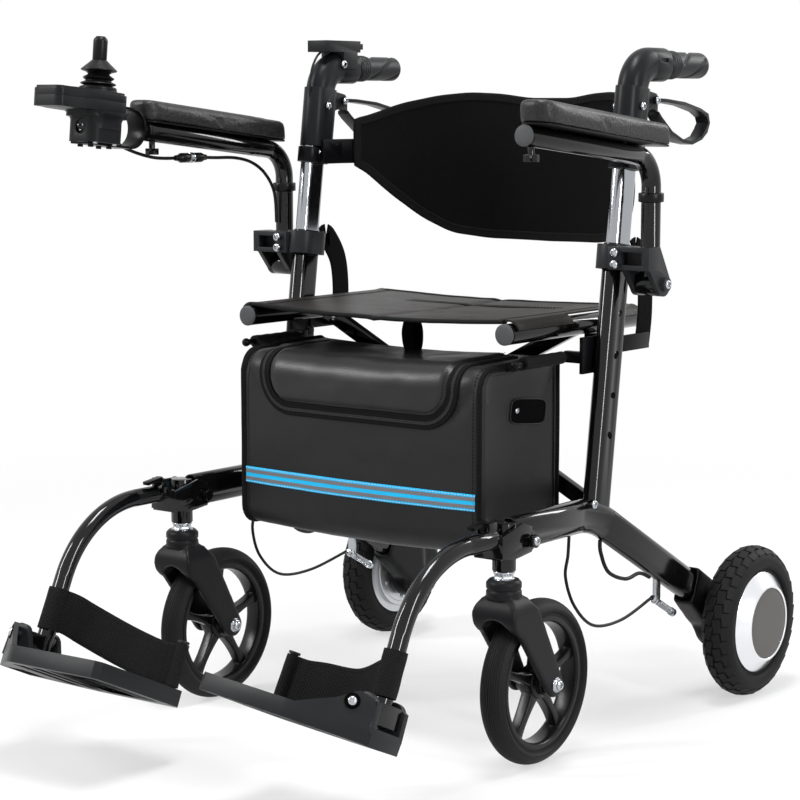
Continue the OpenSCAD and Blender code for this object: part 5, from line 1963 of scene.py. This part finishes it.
@dataclass
class Backrest:
    """The curved back sheet with its bound edge."""

    kit: Kit
    radius: float = 236.5
    centre_y: float = 127.0
    thick: float = 3.0
    post_span: float = 444.0
    flat_height: float = 0.201
    top: tuple[Flat, ...] = ((-222, 760), (-188, 782), (-150, 793), (-115, 797), (-76, 795), (-34, 789),
                             (34, 789), (76, 795), (115, 797), (150, 793), (188, 782), (222, 760))
    foot: tuple[Flat, ...] = ((-222, 704), (-197, 661), (-167, 627), (-135, 606), (-90, 599), (0, 597),
                              (90, 599), (135, 606), (167, 627), (197, 661), (222, 704))

    def height(self, edge: Sequence[Flat], x: float) -> float:
        """The height of an edge at a place across the back, with its corners eased."""
        total = 0.0
        for shift in (-9, -4.5, 0, 4.5, 9):
            v = clamp(x + shift, edge[0][0], edge[-1][0])
            for (x0, z0), (x1, z1) in zip(edge, edge[1:]):
                if x0 <= v <= x1:
                    total += z0 + (z1 - z0) * (v - x0) / (x1 - x0)
                    break
        return total / 5

    def end(self) -> float:
        """The angle at which the sheet ends."""
        return asin(221.5 / self.radius)

    def spot(self, a: float, z: float, lift: float = 0.0) -> Vector:
        """A point of the sheet.

        Args:
            a: the angle round the back's centre.
            z: the height.
            lift: how far it stands off the sheet's middle.

        Returns:
            The point in metres.
        """
        ripple = 0.8 * noise.noise(Vector((a * 4, z / 60, 1.0)))
        r = self.radius + lift + ripple - 1.2 * sin(pi * (z - 598) / 200)
        return at(r * sin(a), self.centre_y + r * cos(a), z)

    def rim(self, inset: float, lift: float) -> tuple[list[Vector], list[Vector]]:
        """The closed line that follows the sheet's edge.

        Args:
            inset: how far inside the edge it runs.
            lift: how far off the sheet's middle it lies.

        Returns:
            The line's points, and at each the direction across it on the sheet.
        """
        end = self.end() - inset / self.radius
        angles = spaced(-end, end, 110)
        flat = [(a, self.height(self.top, self.radius * sin(a)) - inset) for a in angles]
        low = [(a, self.height(self.foot, self.radius * sin(a)) + inset) for a in reversed(angles)]
        drop = [(end, z) for z in spaced(flat[-1][1], low[0][1], 10)[1:-1]]
        rise = [(-end, z) for z in spaced(low[-1][1], flat[0][1], 10)[1:-1]]
        flat = flat + drop + low + rise
        path = [self.spot(a, z, lift) for a, z in flat]
        across = []
        for k, (a, z) in enumerate(flat):
            step = path[(k + 1) % len(path)] - path[k - 1]
            across.append(Vector((sin(a), cos(a), 0)).cross(step).normalized())
        return path, across

    def build(self) -> None:
        """Builds the sheet and makes it fold with the frame."""
        end = self.end()
        columns = []
        for a in spaced(-end, end, 96):
            x = self.radius * sin(a)
            heights = spaced(self.height(self.foot, x), self.height(self.top, x), 28)
            columns.append([self.spot(a, z) for z in heights])
        obj = loft("back_sheet", columns, wrap=False)
        area = sum(p.area for p in obj.data.polygons)
        soften(shaped(obj, "SOLIDIFY", thickness=self.thick / 1000, offset=0.0), 60)
        path, across = self.rim(4.5, 0.0)
        binding = sweep("back_binding", path, tape_section(0.0125, 0.0050), across, closed=True)
        lines = [self.rim(8.4, 2.7)[0], self.rim(8.4, -2.7)[0]]
        seams = self.kit.stitcher.sew("back_seams", lines, Finishes.DARK_THREAD, 4.4, 3.1, 0.75)
        keep = (self.post_span - FOLD_MOVE) / self.post_span
        for piece, finish in ((obj, Finishes.BACK_CLOTH), (binding, Finishes.BACK_BINDING), (seams, None)):
            place(piece, "left_handle", finish, "back_fabric", ["backrest"])
            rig.squash(piece, "fold", axis=(1, 0, 0), anchor=at(self.post_span / 2, 0, 0), keep=keep)
        width = 2 * end * self.radius / 1000
        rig.sheet(obj, flat=(width, self.flat_height), held="stretched",
                 rests_on=["left_back_bracket_body", "right_back_bracket_body"],
                 area=min(area, width * self.flat_height), with_pieces=[binding, seams])


@dataclass
class ArmRest:
    """One arm rest: the bent tube and its padded top."""

    side: Side
    kit: Kit
    tube_x: float = 292.0
    pad_x: float = 302.0
    start: Flat = (144.0, 718.0)
    rise: float = 6.2
    length: float = 272.0
    width: float = 48.0
    base: float = 14.5
    swell: float = 0.0008

    def spot(self, u: float, v: float, w: float) -> Vector:
        """A point of the pad.

        Args:
            u: the distance across, outwards.
            v: the distance forwards from the pad's rear end.
            w: the height over the pad's foot.

        Returns:
            The point in metres.
        """
        c, s = cos(radians(self.rise)), sin(radians(self.rise))
        along, up = v + 5.0, w + self.base
        return self.side.at(self.pad_x + u, self.start[0] - along * c - up * s,
                            self.start[1] + along * s + up * c)

    def outline(self, inset: float) -> list[Flat]:
        """The pad's plan, square behind and rounder in front.

        Args:
            inset: how far inside the edge it runs.

        Returns:
            Its points.
        """
        made = []
        half, last = self.width / 2 - inset, self.length - inset
        corners = [(half, inset, 8.0, -90), (half, last, 20.0, 0), (-half, last, 20.0, 90),
                   (-half, inset, 8.0, 180)]
        for x, v, r, start in corners:
            r = max(1.0, r - inset)
            cx, cv = x - copysign(r, x), v + (r if start in (-90, 180) else -r)
            turn = [radians(a) for a in spaced(start, start + 90, 7)]
            made += [(cx + r * cos(a), cv + r * sin(a)) for a in turn]
        return made

    def body_mesh(self, shrink: float) -> Piece:
        """The pad's closed form, before it is filled.

        Args:
            shrink: how far it starts inside its full size.

        Returns:
            The form's object.
        """
        rows = [(2.2, 0.0), (0.6, 0.9), (0.0, 3.0), (0.0, 10.0), (0.0, 18.0), (0.5, 21.6), (2.0, 24.4),
                (4.4, 26.2), (8.0, 27.1), (15.0, 27.5)]
        rings = [[self.spot(u, v, w * (1 - shrink / 26)) for u, v in self.outline(inset + shrink)]
                 for inset, w in rows]
        return loft(self.side.node("arm_pad_skin"), rings, caps=True)

    def pad(self) -> Piece:
        """The filled pad, its skin swollen by its foam.

        Returns:
            The pad's object.
        """
        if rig.quick():
            return soften(self.body_mesh(0.0), 40)
        obj = self.body_mesh(0.9)
        shaped(obj, "REMESH", mode="VOXEL", voxel_size=0.003)
        rest = [v.co.copy() for v in obj.data.vertices]
        foot = self.spot(0, self.length / 2, 3.0)
        lean = (self.spot(0, 100, 10) - self.spot(0, 100, 0)).normalized()
        held = obj.vertex_groups.new(name="held")
        held.add([i for i, p in enumerate(rest) if (p - foot).dot(lean) < 0], 1.0, "REPLACE")
        rule = obj.modifiers.new("filled", "CLOTH")
        rule.settings.use_pressure = True
        rule.settings.uniform_pressure_force = 4.0
        rule.settings.vertex_group_mass = "held"
        rule.settings.effector_weights.gravity = 0.0
        scene = bpy.context.scene
        for frame in range(1, 21):
            scene.frame_set(frame)
        settle(obj)
        scene.frame_set(1)
        for v, p in zip(obj.data.vertices, rest):
            move = v.co - p
            if move.length > self.swell:
                v.co = p + move.normalized() * self.swell
        return soften(shaped(obj, "SUBSURF", levels=1, render_levels=1), 80)

    def fittings(self) -> None:
        """The pad's foot plate, the tube's end cap and its collar."""
        side = self.side
        body = side.node("arm")
        rows = ((4.0, 0.5), (2.0, 0.2), (2.0, -1.6), (5.0, -2.2))
        rings = [[self.spot(u, v, w) for u, v in self.outline(inset)] for inset, w in rows]
        place(soften(loft(side.node("arm_pad_base"), rings, caps=True), 40), body, Finishes.BLACK_PLASTIC,
              "black_plastic")
        c, s = cos(radians(self.rise)), sin(radians(self.rise))
        ahead = Vector((0, -c, s))
        if side is Side.LEFT:
            tip = side.at(self.tube_x, self.start[0] - self.length * c - 3.5,
                          self.start[1] + self.length * s + 0.4)
            rings = [(11.6, 0.0), (12.3, 0.3), (12.3, 1.6), (11.2, 2.6), (7.0, 3.2), (0.0, 3.4)]
            place(lathe(side.node("arm_cap"), rings, tip, ahead, 40), body, Finishes.CAP_GREY,
                  "charcoal_plastic")
        rings = [(12.1, 0.0), (15.0, 0.5), (15.6, 1.4), (15.6, 10.6), (15.0, 11.5), (12.1, 12.0)]
        place(lathe(side.node("arm_collar"), rings, side.at(self.tube_x, self.start[0], 664), UP, 40), body,
              Finishes.BLACK_PLASTIC, "black_plastic")

    def build(self) -> None:
        """Builds the tube and the pad."""
        side = self.side
        body = side.node("arm")
        rounded(side.node("arm_tube"), body, Finishes.GLOSS_BLACK, "gloss_black_frame", 0.6)
        pad = self.pad()
        place(pad, body, Finishes.PAD_SKIN, "pad_skin", [side.node("arm_pad")])
        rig.padded(pad, fill=0.9)
        self.fittings()


@dataclass
class Joystick:
    """The drive controller on the right arm: its bracket, case, bellows, stick and cable."""

    kit: Kit
    origin: Point = (298.0, -206.0, 797.0)
    tilt: float = 6.0
    nose: float = -52.0
    nose_kept: float = 0.6

    def spot(self, x: float, y: float, z: float) -> Vector:
        """A point of the tilted controller."""
        c, s = cos(radians(self.tilt)), sin(radians(self.tilt))
        return Side.RIGHT.at(self.origin[0] + x, self.origin[1] + y * c + z * s,
                             self.origin[2] - y * s + z * c)

    def way(self, x: float, y: float, z: float) -> Vector:
        """A direction of the tilted controller."""
        return (self.spot(x, y, z) - self.spot(0, 0, 0)).normalized()

    def cable(self) -> None:
        """The lead from the controller along the arm, with its screwed coupling."""
        curve, at_ = Side.RIGHT.curve, Side.RIGHT.at
        first = curve([(317, -183.7, 748), (317, -166, 741), (315, -140, 726), (306, -98, 714),
                       (298, -52, 713)])
        last = curve([(298, -20, 713), (298, 10, 712), (298, 50, 711), (298, 84, 704), (295, 108, 688),
                      (293, 124, 662), (292, 127, 622)], 6)
        path = first[:-1] + [at_(298, y, 713) for y in range(-52, -20, 4)] + last
        front = [(2.3, -68.0), (3.6, -67.0), (4.2, -60.0), (6.0, -57.6), (6.4, -56.6), (6.4, -43.4),
                 (6.0, -42.6), (5.6, -42.0)]
        back = [(5.6, -33.4), (6.0, -32.8), (6.4, -32.0), (6.4, -19.0), (5.8, -16.8), (4.4, -14.6),
                (3.8, -9.0), (2.3, -8.0)]
        ring = [(5.4, -42.4), (6.7, -41.8), (6.9, -40.6), (6.5, -40.0), (6.5, -39.0), (6.9, -38.4),
                (6.9, -35.0), (6.6, -33.8), (5.4, -33.2)]
        pieces = []
        for name, rows, finish, slot in (("coupling_front", front, Finishes.BLACK_PLASTIC, "black_plastic"),
                                         ("coupling_back", back, Finishes.BLACK_PLASTIC, "black_plastic"),
                                         ("coupling_ring", ring, Finishes.PLATED, "plated_steel")):
            piece = lathe(name, rows, at_(298, 0, 713), REAR, 28)
            pieces.append(place(piece, "right_arm", finish, slot, ["joystick_cable"]))
        cable("controller_lead", path, 2.2, 12, "right_arm", ["joystick_cable"], pieces)

    def bellows(self) -> None:
        """The folded rubber boot and the skirt under the knob."""
        up = self.way(0, 0, 1)
        folds = [(15.0, 2.5), (23.4, 2.5), (23.6, 3.6), (23.2, 5.8), (21.0, 6.8), (17.4, 7.2), (17.6, 7.9),
                 (21.4, 9.2), (22.5, 10.2),
                 (21.6, 11.4), (16.4, 13.4), (16.0, 14.2), (18.8, 16.4), (19.7, 17.5), (18.8, 18.6),
                 (14.2, 21.2), (13.4, 22.4)]
        skirt = [(13.0, 22.0), (16.0, 24.6), (21.6, 26.2), (22.6, 26.9), (22.4, 28.0), (19.0, 31.0),
                 (14.0, 35.4), (10.4, 38.8), (9.0, 40.0), (7.4, 40.2)]
        low = lathe("boot_folds", folds, self.spot(0, 0, 0), up, 56)
        bend(low, Finishes.BELLOWS, "soft_rubber", ("right_arm", "joystick_ring"), self.spot(0, 0, 4),
             self.spot(0, 0, 22), ["joystick_boot"])
        place(lathe("boot_skirt", skirt, self.spot(0, 0, 0), up, 56), "joystick_stick", Finishes.BELLOWS,
              "soft_rubber", ["joystick_boot"])

    def shorten(self, obj: Piece) -> Piece:
        """Draws in the nose of a copy of the case, past a place along it.

        Args:
            obj: the copy.

        Returns:
            The same object.
        """
        origin, along = self.spot(0, 0, 0), self.way(0, 1, 0)
        for v in obj.data.vertices:
            past = (v.co - origin).dot(along) - self.nose / 1000
            if past < 0:
                v.co -= along * past * (1 - self.nose_kept)
        return obj

    def flare(self) -> Piece:
        """The hollow curve between the case and its narrower foot.

        Returns:
            The flare's object.
        """
        rings = []
        for t in spaced(0, 1, 10):
            grow = 9.0 * t ** 3
            plan = [squarish(a, 0.5) for a in turns(48)]
            rings.append([self.spot(x * (27.0 + grow), y * (25.0 + 0.7 * grow), -46.0 + 21.4 * t)
                          for x, y in plan])
        return soften(loft("case_flare", rings, caps=True), 40)

    def details(self) -> None:
        """The screws in the case's foot and the socket's pins."""
        front, down = self.way(0, -1, 0), self.way(0, 0, -1)
        corners = [(self.spot(x, y, -63.0), down) for x in (-17, 17) for y in (-17, 17)]
        self.kit.screws("case_screws", corners, "right_arm", 0.7)
        rows = [(10.6, 0.0), (10.6, 1.0), (10.0, 1.7), (9.0, 1.7), (8.6, 1.1), (8.5, 0.0)]
        place(lathe("socket_rim", rows, self.spot(0, -25.4, -44.0), front, 40), "right_arm",
              Finishes.BLACK_PLASTIC, "black_plastic")
        pins = [(self.spot(x, -27.0, z), front) for x, z in ((-4.0, -42.5), (4.0, -42.5), (0.0, -49.0))]
        self.kit.screws("socket_pins", pins, "right_arm", 0.28)

    def build(self) -> None:
        """Builds the controller's pieces."""
        body = "right_arm"
        self.cable()
        rounded("joystick_bracket", body, Finishes.SATIN_BLACK, "satin_black_steel", 0.5)
        for node, width in (("joystick_lower", 2.4), ("joystick_upper", 2.6)):
            place(self.shorten(machined(node, width, 4)), body, Finishes.CASE, "controller_plastic", [node])
        place(self.flare(), body, Finishes.CASE, "controller_plastic")
        rounded("joystick_gimbal", "joystick_ring", Finishes.PLATED, "plated_steel", 0.3)
        rounded("joystick_stick", "joystick_stick", Finishes.BLACK_PLASTIC, "black_plastic", 0.8)
        self.bellows()
        self.details()


@dataclass
class Wheel:
    """What both kinds of wheel share: the axle's place and the round of the tyre."""

    side: Side
    kit: Kit
    x: float = 0.0
    y: float = 0.0
    z: float = 100.0
    crown_low: float = 0.0
    crown_r: float = 0.0

    def crown(self, d: float) -> float:
        """The radius of the tyre's crown at a distance from its middle."""
        return self.crown_low + sqrt(self.crown_r ** 2 - d * d)

    def turned(self, part: str, profile: Sequence[Flat], x: float, steps: int = 96) -> Piece:
        """A form turned about the axle, its distances taken outwards from a place across the chair."""
        centre = self.side.at(x, self.y, self.z)
        return lathe(self.side.node(part), profile, centre, OUT * self.side.value, steps, SHARP)

    def tyre_form(self, part: str, crown: list[Flat], wall: list[Flat]) -> Piece:
        """A tyre, from its crown and the wall that closes it on both sides."""
        return self.turned(part, wall[-1:] + [(r, -d) for r, d in reversed(wall)] + crown + wall, self.x, 128)


@dataclass
class FrontWheel(Wheel):
    """One caster: the fork, the spoked rim and the grooved tyre."""

    x: float = 254.0
    y: float = -44.0
    crown_low: float = 81.24
    crown_r: float = 18.76
    stem_y: float = -110.0
    bolt_reach: float = 35.0
    spokes: int = 5
    grooves: tuple[float, ...] = (-11.7, -9.1, -6.5, -3.9, -1.3, 1.3, 3.9, 6.5, 9.1, 11.7)
    groove_deep: float = 0.9
    groove_half: float = 0.6

    def tyre(self) -> Piece:
        """The tyre with its fine grooves.

        Returns:
            The tyre's object.
        """
        crown = []
        for d in spaced(-17.4, 17.4, 144):
            cuts = [self.groove_deep * max(0.0, 1 - ((d - g) / self.groove_half) ** 2) for g in self.grooves]
            crown.append((self.crown(d) - sum(cuts), d))
        wall = [(86.6, 17.0), (85.2, 15.6), (84.2, 13.6), (83.6, 12.5), (80.05, 12.5)]
        return self.tyre_form("front_tyre_rubber", crown, wall)

    def rim(self) -> None:
        """The rim's ring, its hub and its slim spokes."""
        side, wheel = self.side, self.side.node("front_wheel")
        centre = side.at(self.x, self.y, self.z)
        ring = [(80.0, 13.0), (78.4, 13.6), (74.4, 13.2), (72.8, 11.4), (72.2, 8.0), (71.8, 2.0)]
        hub = [(4.1, 19.0), (12.0, 19.0), (14.2, 18.2), (15.0, 16.5), (15.4, 11.0), (19.8, 9.6), (20.8, 8.0),
               (21.0, 2.0)]
        for name, half in (("rim_ring", ring), ("rim_hub", hub)):
            rows = half + [(r, -d) for r, d in reversed(half)] + half[:1]
            obj = self.turned(name, rows, self.x)
            place(obj, wheel, Finishes.RIM_BLACK, "black_plastic", [side.node("front_rim")])
        spots = []
        for k in range(self.spokes):
            a = radians(18 + 360 * k / self.spokes)
            spots.append((centre, Vector((0, cos(a), sin(a))), OUT))
        obj = self.kit.repeater.set_out(side.node("rim_spokes"), spots, self.kit.spoke, Finishes.RIM_BLACK)
        place(obj, wheel, None, "black_plastic", [side.node("front_rim")])

    def build(self) -> None:
        """Builds the caster."""
        side = self.side
        axle = (self.y, self.z)
        fork = moulded(machined(side.node("fork"), 3.2, 4), 1.5, 14,
                       lambda p: p.z < 212 and dist((p.y, p.z), axle) > 13)
        place(fork, side.node("caster"), Finishes.FORK_BLACK, "black_plastic", [side.node("fork")])
        paint(fork, Finishes.PLATED, lambda p: p.z > 235.5 and dist((p.x, p.y), (self.x, self.stem_y)) < 14)
        paint(fork, Finishes.PLATED,
              lambda p: dist((p.y, p.z), axle) < 9 and abs(abs(p.x - self.x) - 33.5) < 2.4)
        out = OUT * side.value
        spots = [(side.at(self.x + way * self.bolt_reach, self.y, self.z), out * way) for way in (1, -1)]
        self.kit.screws(side.node("axle_bolts"), spots, side.node("caster"), 1.25)
        self.rim()
        tyre = self.tyre()
        place(tyre, side.node("front_wheel"), Finishes.FRONT_RUBBER, "tyre_rubber", [side.node("front_tyre")])


@dataclass
class RearWheel(Wheel):
    """One driven wheel: the aluminium hub and the block-tread tyre."""

    x: float = 301.0
    y: float = 395.0
    crown_low: float = 77.56
    crown_r: float = 22.44
    blocks: int = 32
    block_sink: float = 1.75
    screw_ring: float = 44.0

    def tyre(self) -> Piece:
        """The tyre's carcass, with ribbed side walls.

        Returns:
            The tyre's object.
        """
        crown = []
        for d in spaced(-21.9, 21.9, 110):
            drop = 2.0 if abs(d) < 17.0 else 2.0 * max(0.0, 18.0 - abs(d))
            crown.append((self.crown(d) - drop, d))
        wall = [(74.6, 21.2), (74.0, 20.6), (73.4, 21.0), (72.6, 20.2), (72.0, 18.6), (71.5, 16.0),
                (68.05, 16.0)]
        return self.tyre_form("rear_tyre_rubber", crown, wall)

    def tread(self) -> None:
        """The four rows of tread blocks."""
        sign = self.side.value
        spots = []
        for d, shift, lean, skew in ((-5.6, 0.0, -0.22, -0.22), (5.6, 0.5, 0.22, 0.22),
                                     (-14.6, 0.5, -0.68, -0.22), (14.6, 0.0, 0.68, 0.22)):
            r = self.crown(d) - self.block_sink
            for k in range(self.blocks):
                a = tau * (k + shift) / self.blocks
                c, s = cos(a), sin(a)
                out = Vector((sign * sin(lean), cos(lean) * c, cos(lean) * s))
                point = self.side.at(self.x + d, self.y + r * c, self.z + r * s)
                spots.append((point, out, Vector((skew * sign, -s, c))))
        obj = self.kit.repeater.set_out(self.side.node("tread_blocks"), spots, self.kit.block,
                                        Finishes.REAR_RUBBER)
        place(obj, self.side.node("rear_wheel"), None, "tyre_rubber", [self.side.node("rear_tyre")])

    def hub(self) -> None:
        """The polished cone, the grey disc and the silver motor housing with its screws."""
        side = self.side
        wheel = side.node("rear_wheel")
        cone = [(67.95, 284), (67.95, 317.5), (67.6, 318.4), (66.6, 319.2), (65.0, 320.2), (51.5, 330.0),
                (50.4, 331.3), (49.2, 331.9), (47.8, 331.9), (46.9, 331.2), (46.6, 330.0), (46.6, 327.0)]
        disc = [(46.55, 327.0), (46.55, 329.6), (46.1, 330.6), (44.8, 331.0), (30.0, 331.0), (12.0, 331.0),
                (0.0, 331.0)]
        back = [(6.05, 323.0), (6.05, 277.5), (14.0, 277.5), (15.0, 278.3), (50.5, 278.3), (51.5, 277.5),
                (56.5, 277.5), (57.6, 278.2), (58.0, 279.5), (58.0, 284.0), (67.95, 284.0)]
        for name, rows, steps, finish in (("hub_cone", cone, 128, Finishes.ALUMINIUM),
                                          ("hub_disc", disc, 96, Finishes.HUB_GREY),
                                          ("hub_back", back, 96, Finishes.MOTOR_SILVER)):
            obj = self.turned(name, rows, 0, steps)
            place(obj, wheel, finish, "hub_aluminium", [side.node("rear_hub")])
        spots = []
        for k in range(6):
            a = tau * (k + 0.4) / 6
            r = self.screw_ring
            seat = side.at(278.35, self.y + r * cos(a), self.z + r * sin(a))
            spots.append((seat, OUT * -side.value))
        self.kit.screws(side.node("motor_screws"), spots, wheel, 0.62)

    def build(self) -> None:
        """Builds the wheel."""
        node = self.side.node
        self.hub()
        place(self.tyre(), node("rear_wheel"), Finishes.REAR_RUBBER, "tyre_rubber", [node("rear_tyre")])
        self.tread()


@dataclass
class FootRest:
    """One foot rest: the swinging hanger, its latch, the plate and the heel strap."""

    side: Side
    kit: Kit
    foot: Flat = (-316.9, 206.2)
    tilt: float = 25.0
    hang_x: float = 260.0
    hinge: Flat = (266.0, -84.0)
    strap_h: float = 52.0
    tube_low: float = -67.5
    post_low: float = -103.0
    seam_lift: float = 0.00145
    post: Flat = (82.0, 47.0)

    def spot(self, x: float, y: float, z: float, rolled: bool = False) -> Vector:
        """A point of the tilted foot rest.

        Args:
            x: the distance out from the chair's middle.
            y: the distance along the plate.
            z: the height off the hanger's end.
            rolled: whether the point sits on the plate, which is rolled a little.

        Returns:
            The point in metres.
        """
        if rolled:
            r = radians(5.0 if self.side is Side.LEFT else 1.0)
            dx, dz = x - self.hinge[0], z - self.hinge[1]
            x = self.hinge[0] + dx * cos(r) + dz * sin(r)
            z = self.hinge[1] - dx * sin(r) + dz * cos(r)
        c, s = cos(radians(self.tilt)), sin(radians(self.tilt))
        return self.side.at(x, self.foot[0] + y * c + z * s, self.foot[1] - y * s + z * c)

    def sleeve(self, centre: Flat, radius: float, low: float, rolled: bool) -> list[list[Vector]]:
        """The rings of a strap's loop round a tube.

        Args:
            centre: the tube's place.
            radius: the loop's outer radius.
            low: its lower edge.
            rolled: whether it sits on the plate.

        Returns:
            The rings, from the lower edge up, outside and then inside.
        """
        rings = []
        steps = [(k / 8, 0.0) for k in range(9)] + [(1 - k / 2, 1.9) for k in range(3)]
        for share, inner in steps:
            ring = []
            for a in turns(36):
                c, s = cos(a), sin(a)
                r = radius - inner
                if not inner:
                    r += 0.5 * noise.noise(Vector((c * 2, s * 2, share * 3)))
                ring.append(self.spot(centre[0] + r * c, centre[1] + r * s, low + self.strap_h * share,
                                      rolled))
            rings.append(ring)
        return rings

    def strap(self) -> None:
        """The wide heel strap, sewn round the hanger's tube and the plate's post."""
        side = self.side
        low, base = self.tube_low, self.post_low
        c0, c1 = low + self.strap_h / 2, base + self.strap_h / 2
        fall = c1 - c0
        path = smooth_path([self.spot(self.hang_x - 12.2, 2, c0), self.spot(242, 8, c0 + 0.02 * fall),
                            self.spot(236, 15, c0 + 0.07 * fall), self.spot(222, 30, c0 + 0.23 * fall),
                            self.spot(180, 50, c0 + 0.57 * fall),
                            self.spot(130, self.post[1] + 5, c0 + 0.91 * fall, True),
                            self.spot(106, self.post[1] + 3.5, c1, True),
                            self.spot(self.post[0] + 7.3, self.post[1] + 2, c1, True)], 8)
        wide = (self.spot(0, 0, 1) - self.spot(0, 0, 0)).normalized()
        band = sweep(side.node("heel_band"), path, tape_section(self.strap_h / 1000, 0.0024), wide)
        loops = [loft(side.node("heel_loop_tube"), self.sleeve((self.hang_x, 0.0), 13.6, low, False),
                      closed=True),
                 loft(side.node("heel_loop_post"), self.sleeve(self.post, 7.6, base, True), closed=True)]
        faces = [(path[b] - path[a]).cross(wide).normalized() * self.seam_lift
                 for a, b in zip(range(len(path) - 2), range(2, len(path)))]
        lines = []
        for i in (3, 6, len(path) - 9, len(path) - 5):
            for way in (-1, 1):
                lines.append([path[i] + wide * v + faces[i - 1] * way for v in spaced(0.024, -0.024, 14)])
        for edge in (-0.0222, 0.0222):
            for way in (-1, 1):
                lines.append([p + wide * edge + out * way for p, out in zip(path[1:-1], faces)])
        seams = self.kit.stitcher.sew(side.node("heel_seams"), lines, Finishes.STRAP_THREAD, 4.0, 2.8, 0.75)
        bodies = side.node("foot_hanger"), side.node("footplate")
        ends = self.spot(236, 15, -60), self.spot(100, 52, -76, True)
        for obj in (band, *loops, seams):
            finish = Finishes.STRAP_THREAD if obj is seams else Finishes.HEEL_WEB
            bend(soften(obj, 50), finish, "webbing", bodies, *ends, [side.node("heel_strap")])

    def fasteners(self) -> None:
        """The hinge bolts, each on a wider dark disc of painted shade that stands for its recess."""
        node = self.side.node
        ahead = self.spot(0, -1, 0) - self.spot(0, 0, 0)
        slant = self.spot(0.645, -0.764, 0) - self.spot(0, 0, 0)
        spots = [(self.spot(262.5, -56.2, -84, True), slant), (self.spot(266, 20.6, -84, True), -ahead)]
        # Painted shade: a wider dark disc under each bolt, where the recess would lie in shade.
        self.kit.screws(node("plate_recesses"), spots, node("footplate"), 1.75, painted_hole=True)
        self.kit.screws(node("plate_bolts"), spots, node("footplate"), 1.05)

    def build(self) -> None:
        """Builds the foot rest."""
        node = self.side.node
        rounded(node("hanger"), node("foot_hanger"), Finishes.GLOSS_BLACK, "gloss_black_frame", 0.8)
        rounded(node("latch"), node("latch"), Finishes.SATIN_BLACK, "satin_black_steel", 0.6)
        rounded(node("footplate"), node("footplate"), Finishes.PLATE, "charcoal_plastic", 1.6, 3)
        self.strap()
        self.fasteners()


def main() -> None:
    """Builds the studio and the chair, piece by piece."""
    logging.basicConfig(level=logging.INFO, format="%(name)s: %(message)s")
    Studio().build()
    for side in Side:
        Cables(side).build()
    kit = Kit()
    Seat(kit).build()
    Bag(kit).build()
    Backrest(kit).build()
    Joystick(kit).build()
    for side in Side:
        for part in (SideFrame, Handle, ArmRest, FrontWheel, RearWheel, FootRest):
            part(side, kit).build()
    kit.clear()
    low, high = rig.bounds()
    with open("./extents.json", "w", encoding="utf-8") as record:
        json.dump({"cad": [list(c) for c in CAD_BOX], "visual": [list(low), list(high)]}, record)


if __name__ == "__main__":
    main()
